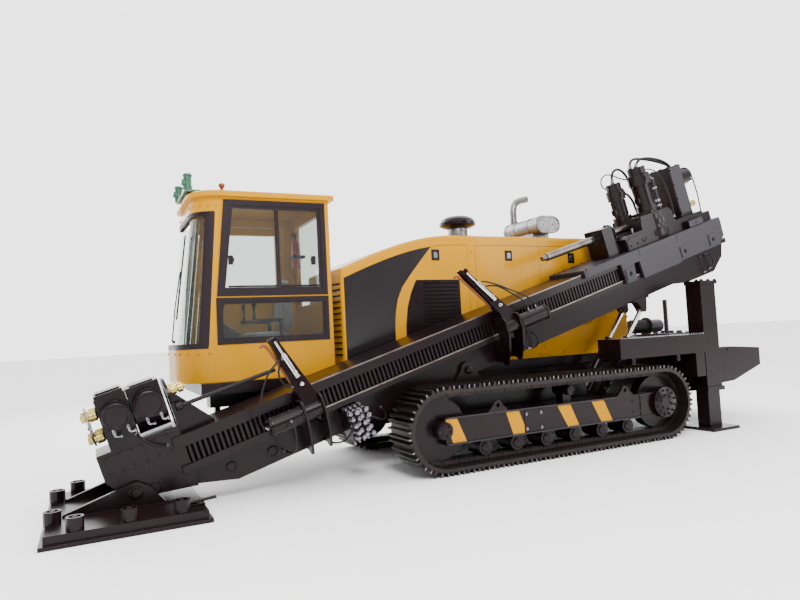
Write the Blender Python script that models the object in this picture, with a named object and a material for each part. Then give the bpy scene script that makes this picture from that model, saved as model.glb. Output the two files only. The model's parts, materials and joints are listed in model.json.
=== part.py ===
"""Crawler-mounted horizontal directional drill, in metres, +Z up.

+X points to the rear of the machine and -Y to the side that carries the drill frame.
Lengths below are measured from the ground midway between the tracks. The finished
machine then stands with the middle of its overall length over the origin.
"""
import math

import bmesh
import bpy
from mathutils import Matrix, Vector

# Clearances
GAP = 0.0003            # between pieces that rest on each other
RUN = 0.006             # between pieces that move past each other
SLIDE = 0.0006          # at pins, bearings and guides
LAP = 0.01              # how far joined solids reach into each other
FAR = 10.0              # further than anything reaches, for cutters

# Tracks
WHEEL_X_FRONT = -1.43   # idler axle
WHEEL_X_REAR = 1.47     # sprocket axle
WHEEL_Z = 0.423         # axle height, which is also the radius to the grouser tips
SHOE_COUNT = 47
SHOE_W = 0.45
TRACK_Y = 0.90          # middle of each track
TRACK_IN_Y = TRACK_Y - SHOE_W / 2
LINK_W = 0.16
LINK_IN = 0.300         # radius of the chain's inner face about an axle
PLATE_IN = 0.350        # radius of the shoe plate's inner face
PLATE_OUT = 0.385
GROUSER_H = WHEEL_Z - PLATE_OUT
SHOE_PITCH = 0.1715
PITCH_R = (SHOE_COUNT * SHOE_PITCH - 2 * (WHEEL_X_REAR - WHEEL_X_FRONT)) / (2 * math.pi)
# One shoe's outline along the pitch line: share of the pitch, share of the grouser's height
SHOE_OUTLINE = ((0.00, -0.30), (0.05, 0.0), (0.10, 1.0), (0.20, 1.0), (0.27, 0.0), (0.46, 0.0),
                (0.50, 1.0), (0.58, 1.0), (0.64, 0.0), (0.80, 0.0), (0.84, 1.0), (0.93, 1.0))

# Track frames
SIDE_BEAM_X = (-1.42, 1.36)
SIDE_BEAM_Z = (0.280, 0.543)
SIDE_BEAM_HALF_W = 0.170
FLANGE_H = 0.016
FLANGE_OUT = 0.012
SIDE_EAR_X = (-0.814, 0.892)
SIDE_EAR_Z = 0.605
SIDE_EAR_R = 0.052
SIDE_EAR_HOLE_R = 0.022
SIDE_EAR_T = 0.025
SIDE_EAR_HALF_BASE = 0.135
WHEEL_HALF_W = LINK_W / 2 - 0.02
ROLLER_R = 0.080
ROLLER_HALF_W = 0.120
ROLLER_COUNT = 6
ROLLER_X = (-0.95, 0.95)
CARRIER_X = 0.16
CARRIER_R = 0.055
HUB_R = 0.175
HUB_HALF_W = 0.205
IDLER_HUB_R = 0.090

# Chassis
CHASSIS_X = (-1.15, 2.26)
CHASSIS_Y = (-0.17, TRACK_IN_Y - 0.075)
CHASSIS_Z = (0.40, 0.86)
NEAR_BEAM_X = (-1.15, 0.72)
NEAR_BEAM_Y = -(TRACK_IN_Y - 0.020)
NEAR_BEAM_Z = (0.37, 0.78)
CROSS_TUBE = ((-0.80, -0.58), (0.93, 1.13))
CROSS_TUBE_Z = (0.31, 0.44)
TIE_Y = (0.05, 0.45)
BASE_X = (-3.50, 2.10)
BASE_Y = (-0.10, 1.05)
BASE_Z = (0.875, 0.984)
REAR_BEAM_X = (2.25, 2.58)
REAR_BEAM_Z = (0.46, 0.944)
DECK_BEAM_Y = (CHASSIS_Y[0] + 0.10, CHASSIS_Y[1] - 0.03)
# Rails under the cab that carry the front of the deck: low Y, high Y, low Z
DECK_RAILS = ((0.05, 0.25, 0.74), (0.80, 1.00, 0.87))
DECK_RAIL_FRONT_X = -3.40
LADDER_X = (-3.35, -2.95)
LADDER_Y = (0.08, 0.13)
LADDER_Z = (0.50, 0.80)
LADDER_T = 0.05

# Rear
TAIL_X = 3.76           # rear face of the machine
TAIL_HALF_Y = 0.72
# Side outline of the tail from the rear beam to the rear face: X, low Z, high Z
TAIL_PROFILE = ((REAR_BEAM_X[1] + GAP, 0.480, 0.970), (3.210, 0.517, 0.965), (TAIL_X, 0.694, 0.923))
PUMP_X = (2.64, 3.14)
PUMP_Y = (-0.15, 0.45)
PUMP_TOP_Z = 1.17
PUMP_DRIVE_X = (2.36, 2.92)
PUMP_DRIVE_Y = 0.20
PUMP_DRIVE_Z = 1.285
PUMP_DRIVE_R = 0.090
PUMP_FLANGE_R = 0.125
PUMP_FLANGE_X = (2.65, 2.68)
PUMP_POST = (2.75, -0.08)
PUMP_POST_R = 0.030
PUMP_POST_Z = 1.62
STEP_X = (0.89, 2.269)
STEP_Y = (-1.05, -0.70)
STEP_TOP_Z = 1.17
STEP_HANGER_X = 2.10
STEP_HANGER_Z = 0.66

# Hood
HOOD_X = (-2.04, 2.02)
HOOD_Y = (-0.10, 1.02)
HOOD_Z0 = BASE_Z[1] + GAP
HOOD_FRONT_Z = 2.09
HOOD_TOP_Z = 2.475
HOOD_SLOPE_END_X = -0.60
HOOD_STEPS = 12
HOOD_EDGE_R = 0.035
SHEET = 0.03
BAND = 0.115            # height of the roof's edge over the side panels
SKIRT_Z = 1.086
PANEL_SEAM = 0.004
PILLAR_X = (-0.446, -0.347)
DOOR_SEAM_X = 0.594
# Edge between the dark inlay and the yellow front panel, upwards: X, Z
INLAY_EDGE = ((-1.432, SKIRT_Z), (-1.434, 1.300), (-1.431, 1.479), (-1.416, 1.610),
              (-1.387, 1.740), (-1.322, 1.880), (-1.223, 2.004), (-1.090, 2.160))
INLAY_TIP_X = -0.938
GRILLE_OUTLINE = ((-1.303, 1.230), (-0.575, 1.230), (-0.575, 1.955), (-1.146, 1.955),
                  (-1.215, 1.820), (-1.270, 1.649), (-1.298, 1.450))
GRILLE_SLOT_X = (-1.060, -0.605)
GRILLE_SLOTS = 15
GRILLE_SLOT_Z = (1.270, 1.925)
GRILLE_SLOT_H = 0.022
GRILLE_DEEP = 0.012
LOUVRES = 13
LOUVRE_Y = (-0.055, 0.42)
LOUVRE_Z = (1.16, 1.94)
LOUVRE_H = 0.022
FAR_DOORS = ((-1.35, -0.25), (-0.15, 1.05))
FAR_DOOR_Z = (1.12, 2.02)
ENGINE_X = (-0.50, 1.20)
ENGINE_Y = (0.15, 0.80)
ENGINE_TOP_Z = 1.90

# Silencer and air pre-cleaner on the hood
CAN_X = (0.850, 1.020)  # centres of the can's two round sides
CAN_R = 0.108
CAN_Z = HOOD_TOP_Z + 0.205
CAN_Y = (0.10, 0.80)
CAN_RIM = 0.006
CAN_RIM_W = 0.030
CAN_STAND_X = (0.80, 1.06)
CAN_STAND_Y = (0.25, 0.65)
STACK_R = 0.046
STACK_Y = 0.72
# Path of the stack's middle: X, height over the can's middle
STACK_PATH = ((0.860, 0.00), (0.860, 0.29), (0.875, 0.36), (0.915, 0.41), (0.975, 0.44), (1.100, 0.47))
CLEANER_X = -0.285
CLEANER_Y = 0.35
# Radius, height over the hood
CLEANER_TURNING = ((0.118, 0.000), (0.118, 0.150), (0.185, 0.172), (0.225, 0.190), (0.225, 0.225),
                   (0.205, 0.262), (0.150, 0.295), (0.070, 0.307))

# Cab
CAB_X = (-3.68, -2.112)
CAB_Y = (0.0, 1.20)
CAB_Z = (BASE_Z[1] + GAP, 2.82)
CAB_CORNER_X = -3.345   # where the rounded front starts, below the bend
CAB_BEND_Z = 1.33       # above this the front leans back
FRONT_LEAN = 0.126      # metres back for each metre up
CORNER_LEAN = 0.0733
CORNER_STEPS = 8
CAB_WALL = 0.055
FLOOR_T = 0.05
# Roof: height, how far inside the walls' plan
ROOF_RINGS = ((2.82 + GAP, -0.050), (2.865, -0.050), (2.880, -0.030), (2.891, 0.030))
# Windows in the near side, each corner from low front round to high front: X, Z
UPPER_WINDOW = ((-3.296, 1.834), (-2.170, 1.834), (-2.168, 2.781), (-3.202, 2.781))
LOWER_WINDOW = ((-3.306, 1.360), (-2.170, 1.360), (-2.166, 1.797), (-3.305, 1.797))
REAR_WINDOW_Y = (0.15, 1.05)
REAR_WINDOW_Z = (1.75, 2.70)
SCREEN_Z = (CAB_BEND_Z, 2.66)
SCREEN_EDGE_X = (-3.405, -3.300)    # its rear edge at its foot and at its top
CAB_DOOR_X = (-3.16, -2.30)
CAB_DOOR_Z = (1.08, 2.72)
DOOR_RAIL = 0.09        # width of the door's frame round its glass
DOOR_PANEL = 0.45       # height of the door's closed foot
GLASS_T = 0.008
SEAT_X = (-2.95, -2.43)
SEAT_Y = (0.35, 0.83)
SEAT_Z = (0.30, 0.42, 1.00)         # over the floor: cushion, its top, top of the back
SEAT_BACK_T = 0.12
SEAT_POST = 0.10        # how far the post stands in from the cushion
CONSOLE_X = (-3.30, -3.05)
CONSOLE_Y = (0.25, 0.90)
CONSOLE_H = (0.42, 0.58)            # at the operator, at the windscreen
LAMP_PLATE_X = (-3.560, -3.400)
LAMP_PLATE_T = 0.022
# Lamps on the roof: X, Y
LAMPS = ((-3.520, 0.190), (-3.535, 0.760))
LAMP_R = 0.040
LAMP_H = 0.135

# Drill frame, in its own frame: s along it towards the rear, t across, n up from it
BOOM_Y = -0.45
BOOM_ANGLE = math.radians(16.5)
PIVOT_X = -0.87
PIVOT_Z = 0.945
PIVOT_R = 0.040
PIVOT_EAR_R = 0.090
PIVOT_EAR_HALF = 0.200
EAR_T = 0.035
WEB_HALF = 0.155
WEB_N = -0.070
FOOT_S = (-3.520, -2.878)
FOOT_HALF = 0.240
FOOT_FACE_N = 0.368
FOOT_HEEL_N = 0.050
FOOT_TOP_N = 0.590
WEB_TOE = (-2.535, -0.065)
# Underside and nose of the web behind its plain stretch: s, n
WEB_TAIL = ((3.300, WEB_N), (3.560, -0.128), (4.127, -0.139), (4.351, 0.007), (4.415, 0.154))
RAIL_HALF = 0.270
RAIL_S = (-2.95, 4.36)
LEDGE_N = (0.190, 0.252)
RAIL_N = (0.406, 0.504)
RACK_S = (-2.860, 4.320)
RACK_PITCH = 0.045
RACK_ROOT = 0.205
RACK_TIP = 0.248
TOOTH = (0.20, 0.72)    # where a tooth's tip starts and ends, as shares of the pitch
DRILL_N = 0.810

# Anchor plate, measured from its pin
ANCHOR_PIN = (-4.13, 0.205)
ANCHOR_PIN_R = 0.032
ANCHOR_BOSS_R = 0.080
ANCHOR_X = (-4.79, -3.61)
ANCHOR_Y = (-0.80, 0.74)            # from the drill frame's middle
ANCHOR_LIP_T = 0.030
ANCHOR_TOP_Z = 0.092
ANCHOR_LIP = 0.030
CHEEK_IN = 0.252
CHEEK_T = 0.040
# Side plates' outline from the pin: X, Z
CHEEK_FRONT = (-0.526, -0.096)
CHEEK_HEEL = ((0.100, 0.042), (0.223, -0.103), (0.396, -0.106))
CHEEK_TOP_R = 0.080
# Stake sockets: X from the pin, Y from the drill frame's middle
SOCKETS = ((-0.429, -0.700), (-0.067, -0.695), (0.301, -0.690), (-0.585, -0.430), (-0.584, 0.342),
           (-0.434, 0.640), (-0.067, 0.640), (0.301, 0.640))
SOCKET_R = 0.062
SOCKET_BORE_R = 0.045
SOCKET_H = 0.095
SOCKET_DEPTH = 0.050

# Lift cylinders of the drill frame
LIFT_BASE = (0.98, 0.52)
LIFT_TOP_S = 2.66
LIFT_TOP_N = -0.19
LIFT_SPREAD = 0.150
LIFT_EYE_HALF = 0.030
LIFT_EYE_R = 0.045
LIFT_CHEEK_T = 0.015
LIFT_PIN_R = 0.020
BARREL_R = 0.052
BARREL_LEN = 0.80
ROD_R = 0.028
ROD_BASE = 0.45

# Legs
LEG_X = (2.29, 2.55)
LEG_Y = (0.81, 1.03)
LEG_Z = (0.47, 1.80)
LEG_WALL = 0.018
COLLAR_H = 0.05
COLLAR_OUT = 0.02
LID_T = 0.04
LEG_STEM_TOP = 0.60
FOOT_HALF_W = 0.23
FOOT_T = 0.035

# Door hinges
HINGE_R = 0.012
HINGE_OUT = HINGE_R + RUN       # from the panel's face to the pin
HINGE_TALL = 0.050
LEAF_W = 0.050
HINGE_SHARES = (0.15, 0.85)     # how far up the door each hinge is

# Vises, in the drill frame's own frame
VISE_FRONT_S = (-3.405, -3.165)
VISE_REAR_S = (-3.155, -2.895)
VISE_HALF = 0.24
VISE_TOP_N = 1.020
VISE_CAP_T = 0.028
VISE_BORE_R = 0.075
VISE_ROUND_R = 0.205
SLEEVE_R = 0.115
SLEEVE_END_S = -3.09
RAM_N = 0.855
RAM_HALF = 0.400
RAM_R = 0.105
RAM_FLANGE_R = 0.120
RAM_FLANGE_END = 0.275

# Rod-handling arms: each arm's low s, high s, lean of its top along s, and where its drum ends
ARMS = ((-1.860, -1.710, -0.120, -2.190), (0.430, 0.580, -0.300, 1.000))
ARM_PIN = (-0.425, 0.305)       # t, n
ARM_PIN_R = 0.028
ARM_HUB_R = 0.072
ARM_TOP_N = 1.020
ARM_TOP_W = 0.075
ARM_TOP_T = (-0.345, -0.280)
ARM_LOW_T = (-0.470, -0.375)
DRUM_R = 0.080
STRAP_T = 0.022
ARM_BEND_N = 0.465      # above this an arm leans
# Outline of a strap from the web outwards: t, n
STRAP = ((-WEB_HALF - GAP, -0.060), (-WEB_HALF - GAP, 0.150), (-0.337, 0.150), (-0.337, 0.420),
         (-0.360, 0.435), (-0.490, 0.425), (-0.518, 0.390), (-0.518, 0.240), (-0.440, 0.060),
         (-0.330, -0.095), (-0.290, -0.095), (-0.250, -0.060))
VALVE_S = (-1.480, -1.283)
VALVE_T = (-0.360, -WEB_HALF - GAP)
VALVE_N = (-0.150, 0.145)

# Power head and its carriage, in the drill frame's own frame
CARRIAGE_S = (1.80, 4.30)
CARRIAGE_T = 0.310
DECK_T = 0.040
# Side plates of the carriage from the front to the rear along their lower edge: s, n
CARRIAGE_SKIRT = ((1.80, 0.450), (2.38, 0.450), (2.40, 0.200), (2.57, 0.200), (2.59, 0.400),
                  (2.69, 0.400), (2.70, 0.180), (3.38, 0.180), (3.40, 0.200), (4.18, 0.200),
                  (4.30, 0.300))
LUG_S = (2.485, 3.493, 4.060)
LUG_N = 0.300
LUG_HALF = 0.070
LUG_T = 0.010
LUG_HOLE_R = 0.028
GUIDE_S = (2.395, 2.555)
GUIDE_HALF = 0.150
GUIDE_TOP_N = 0.905
SPINDLE_R = 0.047
SPINDLE_S = (1.517, 3.050)
SPINDLE_NOSE = (0.030, 0.036, 0.075)    # radius at its tip, radius behind, length
# Side outline of the gearbox housing: s, n
HOUSING = ((2.640, 0.0), (2.640, 0.700), (2.700, 0.735), (2.960, 0.735), (2.990, 0.900),
           (3.500, 0.900), (3.560, 0.840), (3.560, 0.700), (4.110, 0.700), (4.110, 0.0))
HOUSING_HALF = 0.235
# Drive gear and its flanges: radius, low n, high n
DRIVE_S = 3.280
DRIVE_T = -0.050
DRIVE_DISCS = ((0.200, 0.545, 0.880), (0.228, 0.600, 0.672), (0.150, 0.870, 0.930))
# Hydraulic motors as stacked discs on one axis: s, t, then radius and top of each disc
MOTORS = (
    (3.090, 0.140, ((0.120, 0.940), (0.088, 1.180), (0.115, 1.290), (0.095, 1.390))),
    (3.330, -0.070, ((0.120, 1.000), (0.105, 1.280), (0.140, 1.400), (0.110, 1.500))),
    (3.480, -0.110, ((0.052, 1.300),)),
)
TOWER_S = (3.800, 4.030)
TOWER_T = (-0.160, 0.160)
TOWER_TOP_N = 1.375
CLAMP_S = (3.720, 3.990)
CLAMP_T = (-0.300, -0.190)
CLAMP_TOP_N = 0.640
REAR_BOX_S = (4.120, 4.290)
REAR_BOX_T = (-0.200, 0.180)
REAR_BOX_TOP_N = 0.660
TOWER_PUMP_S = (4.000, 4.260)
TOWER_PUMP_R = 0.110
TOWER_PUMP_N = 1.200

MATERIALS = {
    # name: colour, roughness, metal
    "black_paint": ((0.020, 0.012, 0.014), 0.45, 0.0),
    "yellow_paint": ((0.70, 0.36, 0.025), 0.38, 0.0),
    "grey_paint": ((0.16, 0.15, 0.16), 0.45, 0.0),
    "track_steel": ((0.045, 0.032, 0.036), 0.60, 0.6),
    "bright_steel": ((0.55, 0.54, 0.53), 0.28, 1.0),
    "window_glass": ((0.10, 0.13, 0.12), 0.08, 0.0),
    "seat_cloth": ((0.10, 0.10, 0.11), 0.85, 0.0),
    "lamp_green": ((0.05, 0.30, 0.16), 0.35, 0.0),
}


def clear_scene():
    for item in list(bpy.data.objects):
        bpy.data.objects.remove(item, do_unlink=True)


def make_material(name):
    colour, rough, metal = MATERIALS[name]
    made = bpy.data.materials.new(name)
    made.use_nodes = True
    shader = made.node_tree.nodes["Principled BSDF"]
    shader.inputs["Base Color"].default_value = (*colour, 1.0)
    shader.inputs["Roughness"].default_value = rough
    shader.inputs["Metallic"].default_value = metal
    return made


def empty(name, location=(0, 0, 0), rotation=(0, 0, 0)):
    """An axis to hang pieces on. All but the first belong to the whole machine's."""
    holder = bpy.data.objects.get("machine")
    made = bpy.data.objects.new(name, None)
    bpy.context.scene.collection.objects.link(made)
    made.location = location
    made.rotation_euler = rotation
    made.parent = holder
    return made


# Solids

def prism(outline, axis, low, high):
    """Extrude an outline, given in the other two axes in X, Y, Z order, along an axis."""
    mesh = bmesh.new()
    place = {
        "X": lambda a, b, c: (c, a, b),
        "Y": lambda a, b, c: (a, c, b),
        "Z": lambda a, b, c: (a, b, c),
    }[axis]
    ring = [mesh.verts.new(place(a, b, low)) for a, b in outline]
    face = mesh.faces.new(ring)
    made = bmesh.ops.extrude_face_region(mesh, geom=[face])
    moved = [item for item in made["geom"] if isinstance(item, bmesh.types.BMVert)]
    shift = Vector(place(0, 0, high - low))
    bmesh.ops.translate(mesh, verts=moved, vec=shift)
    bmesh.ops.recalc_face_normals(mesh, faces=mesh.faces)
    return mesh


def block(x, y, z):
    return prism([(x[0], z[0]), (x[1], z[0]), (x[1], z[1]), (x[0], z[1])], "Y", *sorted(y))


def rod(start, end, radius, sides=20, radius_end=None):
    """A round bar, or a cone, between two points."""
    start, end = Vector(start), Vector(end)
    mesh = bmesh.new()
    length = (end - start).length
    bmesh.ops.create_cone(mesh, cap_ends=True, segments=sides, radius1=radius,
                          radius2=radius if radius_end is None else radius_end, depth=length)
    turn = (end - start).to_track_quat("Z", "Y").to_matrix().to_4x4()
    bmesh.ops.transform(mesh, matrix=Matrix.Translation((start + end) / 2) @ turn, verts=mesh.verts)
    return mesh


def across(x, z, half, radius, y=0.0, sides=20):
    """A round bar along Y, as long to each side of y."""
    return rod((x, y - half, z), (x, y + half, z), radius, sides)


def along(s, t, n, radius, sides=20):
    """A round bar along the drill frame."""
    return rod((s[0], t, n), (s[1], t, n), radius, sides)


def upright(x, y, z, radius, sides=20):
    return rod((x, y, z[0]), (x, y, z[1]), radius, sides)


def loft(rings):
    """A closed solid through rings of as many points each, with its ends capped."""
    mesh = bmesh.new()
    rows = [[mesh.verts.new(point) for point in ring] for ring in rings]
    for low, high in zip(rows, rows[1:]):
        for i, corner in enumerate(low):
            j = (i + 1) % len(low)
            mesh.faces.new((corner, low[j], high[j], high[i]))
    mesh.faces.new(rows[0])
    mesh.faces.new(rows[-1])
    bmesh.ops.triangulate(mesh, faces=mesh.faces)
    bmesh.ops.recalc_face_normals(mesh, faces=mesh.faces)
    return mesh


def turned(profile, x, y, z, sides=24):
    """A turned shape on an upright axis, from its radius and height at each step."""
    spokes = [2 * math.pi * i / sides for i in range(sides)]
    return loft([[(x + r * math.cos(a), y + r * math.sin(a), z + h) for a in spokes]
                 for r, h in profile])


def bent_bar(path, radius, sides=16):
    """A round bar along a path that bends in the XZ plane only."""
    points = [Vector(point) for point in path]
    rings = []
    for i, point in enumerate(points):
        ahead = (points[min(i + 1, len(points) - 1)] - points[max(i - 1, 0)]).normalized()
        side = Vector((0, 1, 0))
        up = ahead.cross(side)
        rings.append([point + radius * (math.cos(a) * side + math.sin(a) * up)
                      for a in (2 * math.pi * k / sides for k in range(sides))])
    return loft(rings)


def together(meshes):
    """Several loose solids as one, to join or cut in a single step."""
    whole = bmesh.new()
    for mesh in meshes:
        data = bpy.data.meshes.new("loose")
        mesh.to_mesh(data)
        mesh.free()
        whole.from_mesh(data)
        bpy.data.meshes.remove(data)
    return whole


def rounded(mesh, chosen, radius):
    """Rounds off the edges for which chosen(one end, other end) holds."""
    edges = [edge for edge in mesh.edges if chosen(edge.verts[0].co, edge.verts[1].co)]
    bmesh.ops.bevel(mesh, geom=edges, offset=radius, segments=2, profile=0.5, affect="EDGES")
    return mesh


def arc(centre, radius, first, last, steps):
    """Points of an arc in degrees, ends included."""
    return [(centre[0] + radius * math.cos(math.radians(first + (last - first) * i / steps)),
             centre[1] + radius * math.sin(math.radians(first + (last - first) * i / steps)))
            for i in range(steps + 1)]


def stacked(low, high, count, height):
    """Low and high ends of slots that are evenly spread over a range."""
    step = (high - low - height) / (count - 1)
    return [(low + i * step, low + i * step + height) for i in range(count)]


def helper(name, mesh, parent, origin):
    data = bpy.data.meshes.new(name)
    bmesh.ops.translate(mesh, verts=mesh.verts, vec=-Vector(origin))
    mesh.to_mesh(data)
    mesh.free()
    made = bpy.data.objects.new(name, data)
    bpy.context.scene.collection.objects.link(made)
    made.parent = parent or bpy.data.objects["machine"]
    made.location = origin
    return made


def piece(name, material, base, add=(), cut=(), parent=None, origin=(0, 0, 0), smooth=True):
    """One node: a base solid, with others joined to it and cut from it."""
    made = helper(name, base, parent, origin)
    made.data.materials.append(bpy.data.materials[material])
    steps = [("UNION", mesh) for mesh in add] + [("DIFFERENCE", mesh) for mesh in cut]
    for number, (operation, mesh) in enumerate(steps):
        tool = helper(f"{name}_tool_{number}", mesh, parent, origin)
        tool.hide_render = True
        tool.display_type = "WIRE"
        change = made.modifiers.new(f"{operation.lower()}_{number}", "BOOLEAN")
        change.operation = operation
        change.solver = "EXACT"
        change.object = tool
    if smooth:
        made.data.shade_smooth()
        made.data.set_sharp_from_angle(angle=math.radians(35))
    return made


# Tracks and their frames

def loop_point(distance, radius):
    """A point on the oval around both axles, from a distance along the pitch line."""
    straight = WHEEL_X_REAR - WHEEL_X_FRONT
    turn = math.pi * PITCH_R
    distance %= 2 * (straight + turn)
    if distance < straight:
        return WHEEL_X_FRONT + distance, WHEEL_Z - radius
    distance -= straight
    if distance < turn:
        angle = distance / PITCH_R
        return (WHEEL_X_REAR + radius * math.sin(angle), WHEEL_Z - radius * math.cos(angle))
    distance -= turn
    if distance < straight:
        return WHEEL_X_REAR - distance, WHEEL_Z + radius
    angle = (distance - straight) / PITCH_R
    return (WHEEL_X_FRONT - radius * math.sin(angle), WHEEL_Z + radius * math.cos(angle))


def oval(radius, bend_steps=14):
    """A plain oval around both axles."""
    rear = arc((WHEEL_X_REAR, WHEEL_Z), radius, -90, 90, bend_steps)
    front = arc((WHEEL_X_FRONT, WHEEL_Z), radius, 90, 270, bend_steps)
    return rear + front


def build_tracks():
    outline = [loop_point((shoe + share) * SHOE_PITCH, PLATE_OUT + GROUSER_H * height)
               for shoe in range(SHOE_COUNT) for share, height in SHOE_OUTLINE]
    for side, name in ((-1, "track_near"), (1, "track_far")):
        y = side * TRACK_Y
        shoes = prism(outline, "Y", y - SHOE_W / 2, y + SHOE_W / 2)
        pockets = [prism(oval(PLATE_IN), "Y", *sorted((y + edge * LINK_W / 2, y + edge * SHOE_W)))
                   for edge in (-1, 1)]
        bore = prism(oval(LINK_IN), "Y", y - SHOE_W, y + SHOE_W)
        piece(name, "track_steel", shoes, cut=[*pockets, bore], smooth=False)


def build_track_frames():
    for side, name in ((-1, "track_frame_near"), (1, "track_frame_far")):
        y = side * TRACK_Y
        beam = block(SIDE_BEAM_X, (y - SIDE_BEAM_HALF_W, y + SIDE_BEAM_HALF_W), SIDE_BEAM_Z)
        recess_z = (SIDE_BEAM_Z[0] + FLANGE_H, SIDE_BEAM_Z[1] - FLANGE_H)
        face = y + side * SIDE_BEAM_HALF_W
        recess = block((-FAR, FAR), (face - side * FLANGE_OUT, face + side * FLANGE_OUT), recess_z)
        wheel_r = LINK_IN - GAP
        add = [across(WHEEL_X_FRONT, WHEEL_Z, WHEEL_HALF_W, wheel_r, y, 28),
               across(WHEEL_X_REAR, WHEEL_Z, WHEEL_HALF_W, wheel_r, y, 28),
               across(WHEEL_X_REAR, WHEEL_Z, HUB_HALF_W, HUB_R, y, 24),
               across(WHEEL_X_FRONT, WHEEL_Z, SIDE_BEAM_HALF_W, IDLER_HUB_R, y)]
        low_z = WHEEL_Z - LINK_IN + GAP + ROLLER_R
        for number in range(ROLLER_COUNT):
            x = ROLLER_X[0] + (ROLLER_X[1] - ROLLER_X[0]) * number / (ROLLER_COUNT - 1)
            add.append(across(x, low_z, ROLLER_HALF_W, ROLLER_R, y, 14))
        top_z = WHEEL_Z + LINK_IN - GAP - CARRIER_R
        add.append(across(CARRIER_X, top_z, ROLLER_HALF_W, CARRIER_R, y, 16))
        add.append(block((CARRIER_X - CARRIER_R, CARRIER_X + CARRIER_R),
                         (y - CARRIER_R, y + CARRIER_R), (SIDE_BEAM_Z[1] - LAP, top_z)))
        holes = []
        for x in SIDE_EAR_X:
            foot_z = SIDE_BEAM_Z[1] - LAP
            outline = [(x - SIDE_EAR_HALF_BASE, foot_z), (x + SIDE_EAR_HALF_BASE, foot_z),
                       *arc((x, SIDE_EAR_Z), SIDE_EAR_R, 10, 170, 7)]
            ear = sorted((face, face - side * SIDE_EAR_T))
            add.append(prism(outline, "Y", *ear))
            holes.append(across(x, SIDE_EAR_Z, SIDE_EAR_T * 2, SIDE_EAR_HOLE_R, face, 14))
        piece(name, "black_paint", beam, add=add, cut=[recess, together(holes)])


# Chassis

def build_chassis():
    beam_y = TRACK_Y - SIDE_BEAM_HALF_W - GAP
    beam_end = LEG_Y[0] - GAP
    add = [block(NEAR_BEAM_X, (NEAR_BEAM_Y, CHASSIS_Y[0] + LAP), NEAR_BEAM_Z),
           block((CROSS_TUBE[0][0], CROSS_TUBE[1][1]), TIE_Y,
                 (CROSS_TUBE_Z[0] + LAP, CHASSIS_Z[0] + LAP)),
           block(REAR_BEAM_X, (-beam_end, beam_end), REAR_BEAM_Z)]
    add += [block(x, (-beam_y, beam_y), CROSS_TUBE_Z) for x in CROSS_TUBE]
    # Ears of the drill frame's pivot
    for edge in (-1, 1):
        inner = BOOM_Y + edge * (WEB_HALF + RUN)
        foot_z = NEAR_BEAM_Z[1] - LAP
        outline = [(PIVOT_X - PIVOT_EAR_HALF, foot_z), (PIVOT_X + PIVOT_EAR_HALF, foot_z),
                   (PIVOT_X + PIVOT_EAR_R, PIVOT_Z), *arc((PIVOT_X, PIVOT_Z), PIVOT_EAR_R, 30, 150, 6),
                   (PIVOT_X - PIVOT_EAR_R, PIVOT_Z)]
        add.append(prism(outline, "Y", *sorted((inner, inner + edge * EAR_T))))
    # Ears for the feet of the lift cylinders
    for edge in (-1, 1):
        y = BOOM_Y + edge * LIFT_SPREAD
        inner = LIFT_EYE_HALF + LAP
        outer = inner + LIFT_CHEEK_T
        for cheek in (-1, 1):
            outline = [(LIFT_BASE[0] - LIFT_EYE_R, CROSS_TUBE_Z[1] - LAP),
                       (LIFT_BASE[0] + LIFT_EYE_R, CROSS_TUBE_Z[1] - LAP),
                       *arc(LIFT_BASE, LIFT_EYE_R, 0, 180, 8)]
            add.append(prism(outline, "Y", *sorted((y + cheek * inner, y + cheek * outer))))
        add.append(across(*LIFT_BASE, outer, LIFT_PIN_R, y, 14))
    pin_hole = across(PIVOT_X, PIVOT_Z, WEB_HALF * 2, PIVOT_R + SLIDE, BOOM_Y, 24)
    main = block(CHASSIS_X, CHASSIS_Y, CHASSIS_Z)
    piece("chassis_frame", "black_paint", main, add=add, cut=[pin_hole])
    # The deck that carries cab and hood, on a beam over the chassis
    under = [block((CHASSIS_X[0], BASE_X[1]), DECK_BEAM_Y, (CHASSIS_Z[1] + GAP, BASE_Z[0] + LAP))]
    for y_low, y_high, z_low in DECK_RAILS:
        under.append(block((DECK_RAIL_FRONT_X, CHASSIS_X[0]), (y_low, y_high), (z_low, BASE_Z[0] + LAP)))
    for x in LADDER_X:
        under.append(block((x, x + LADDER_T), LADDER_Y, LADDER_Z))
    rung_z = (LADDER_Z[0], LADDER_Z[0] + LADDER_T)
    under.append(block((LADDER_X[0], LADDER_X[1] + LADDER_T), LADDER_Y, rung_z))
    piece("deck_frame", "black_paint", block(BASE_X, BASE_Y, BASE_Z), add=under)
    # Engine, as one plain mass
    piece("engine_block", "grey_paint", block(ENGINE_X, ENGINE_Y, (HOOD_Z0, ENGINE_TOP_Z)))


def leg_section(y, inset):
    """Plan ranges of a leg's tube, pulled in on every side."""
    return (LEG_X[0] + inset, LEG_X[1] - inset), (y[0] + inset, y[1] - inset)


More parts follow.
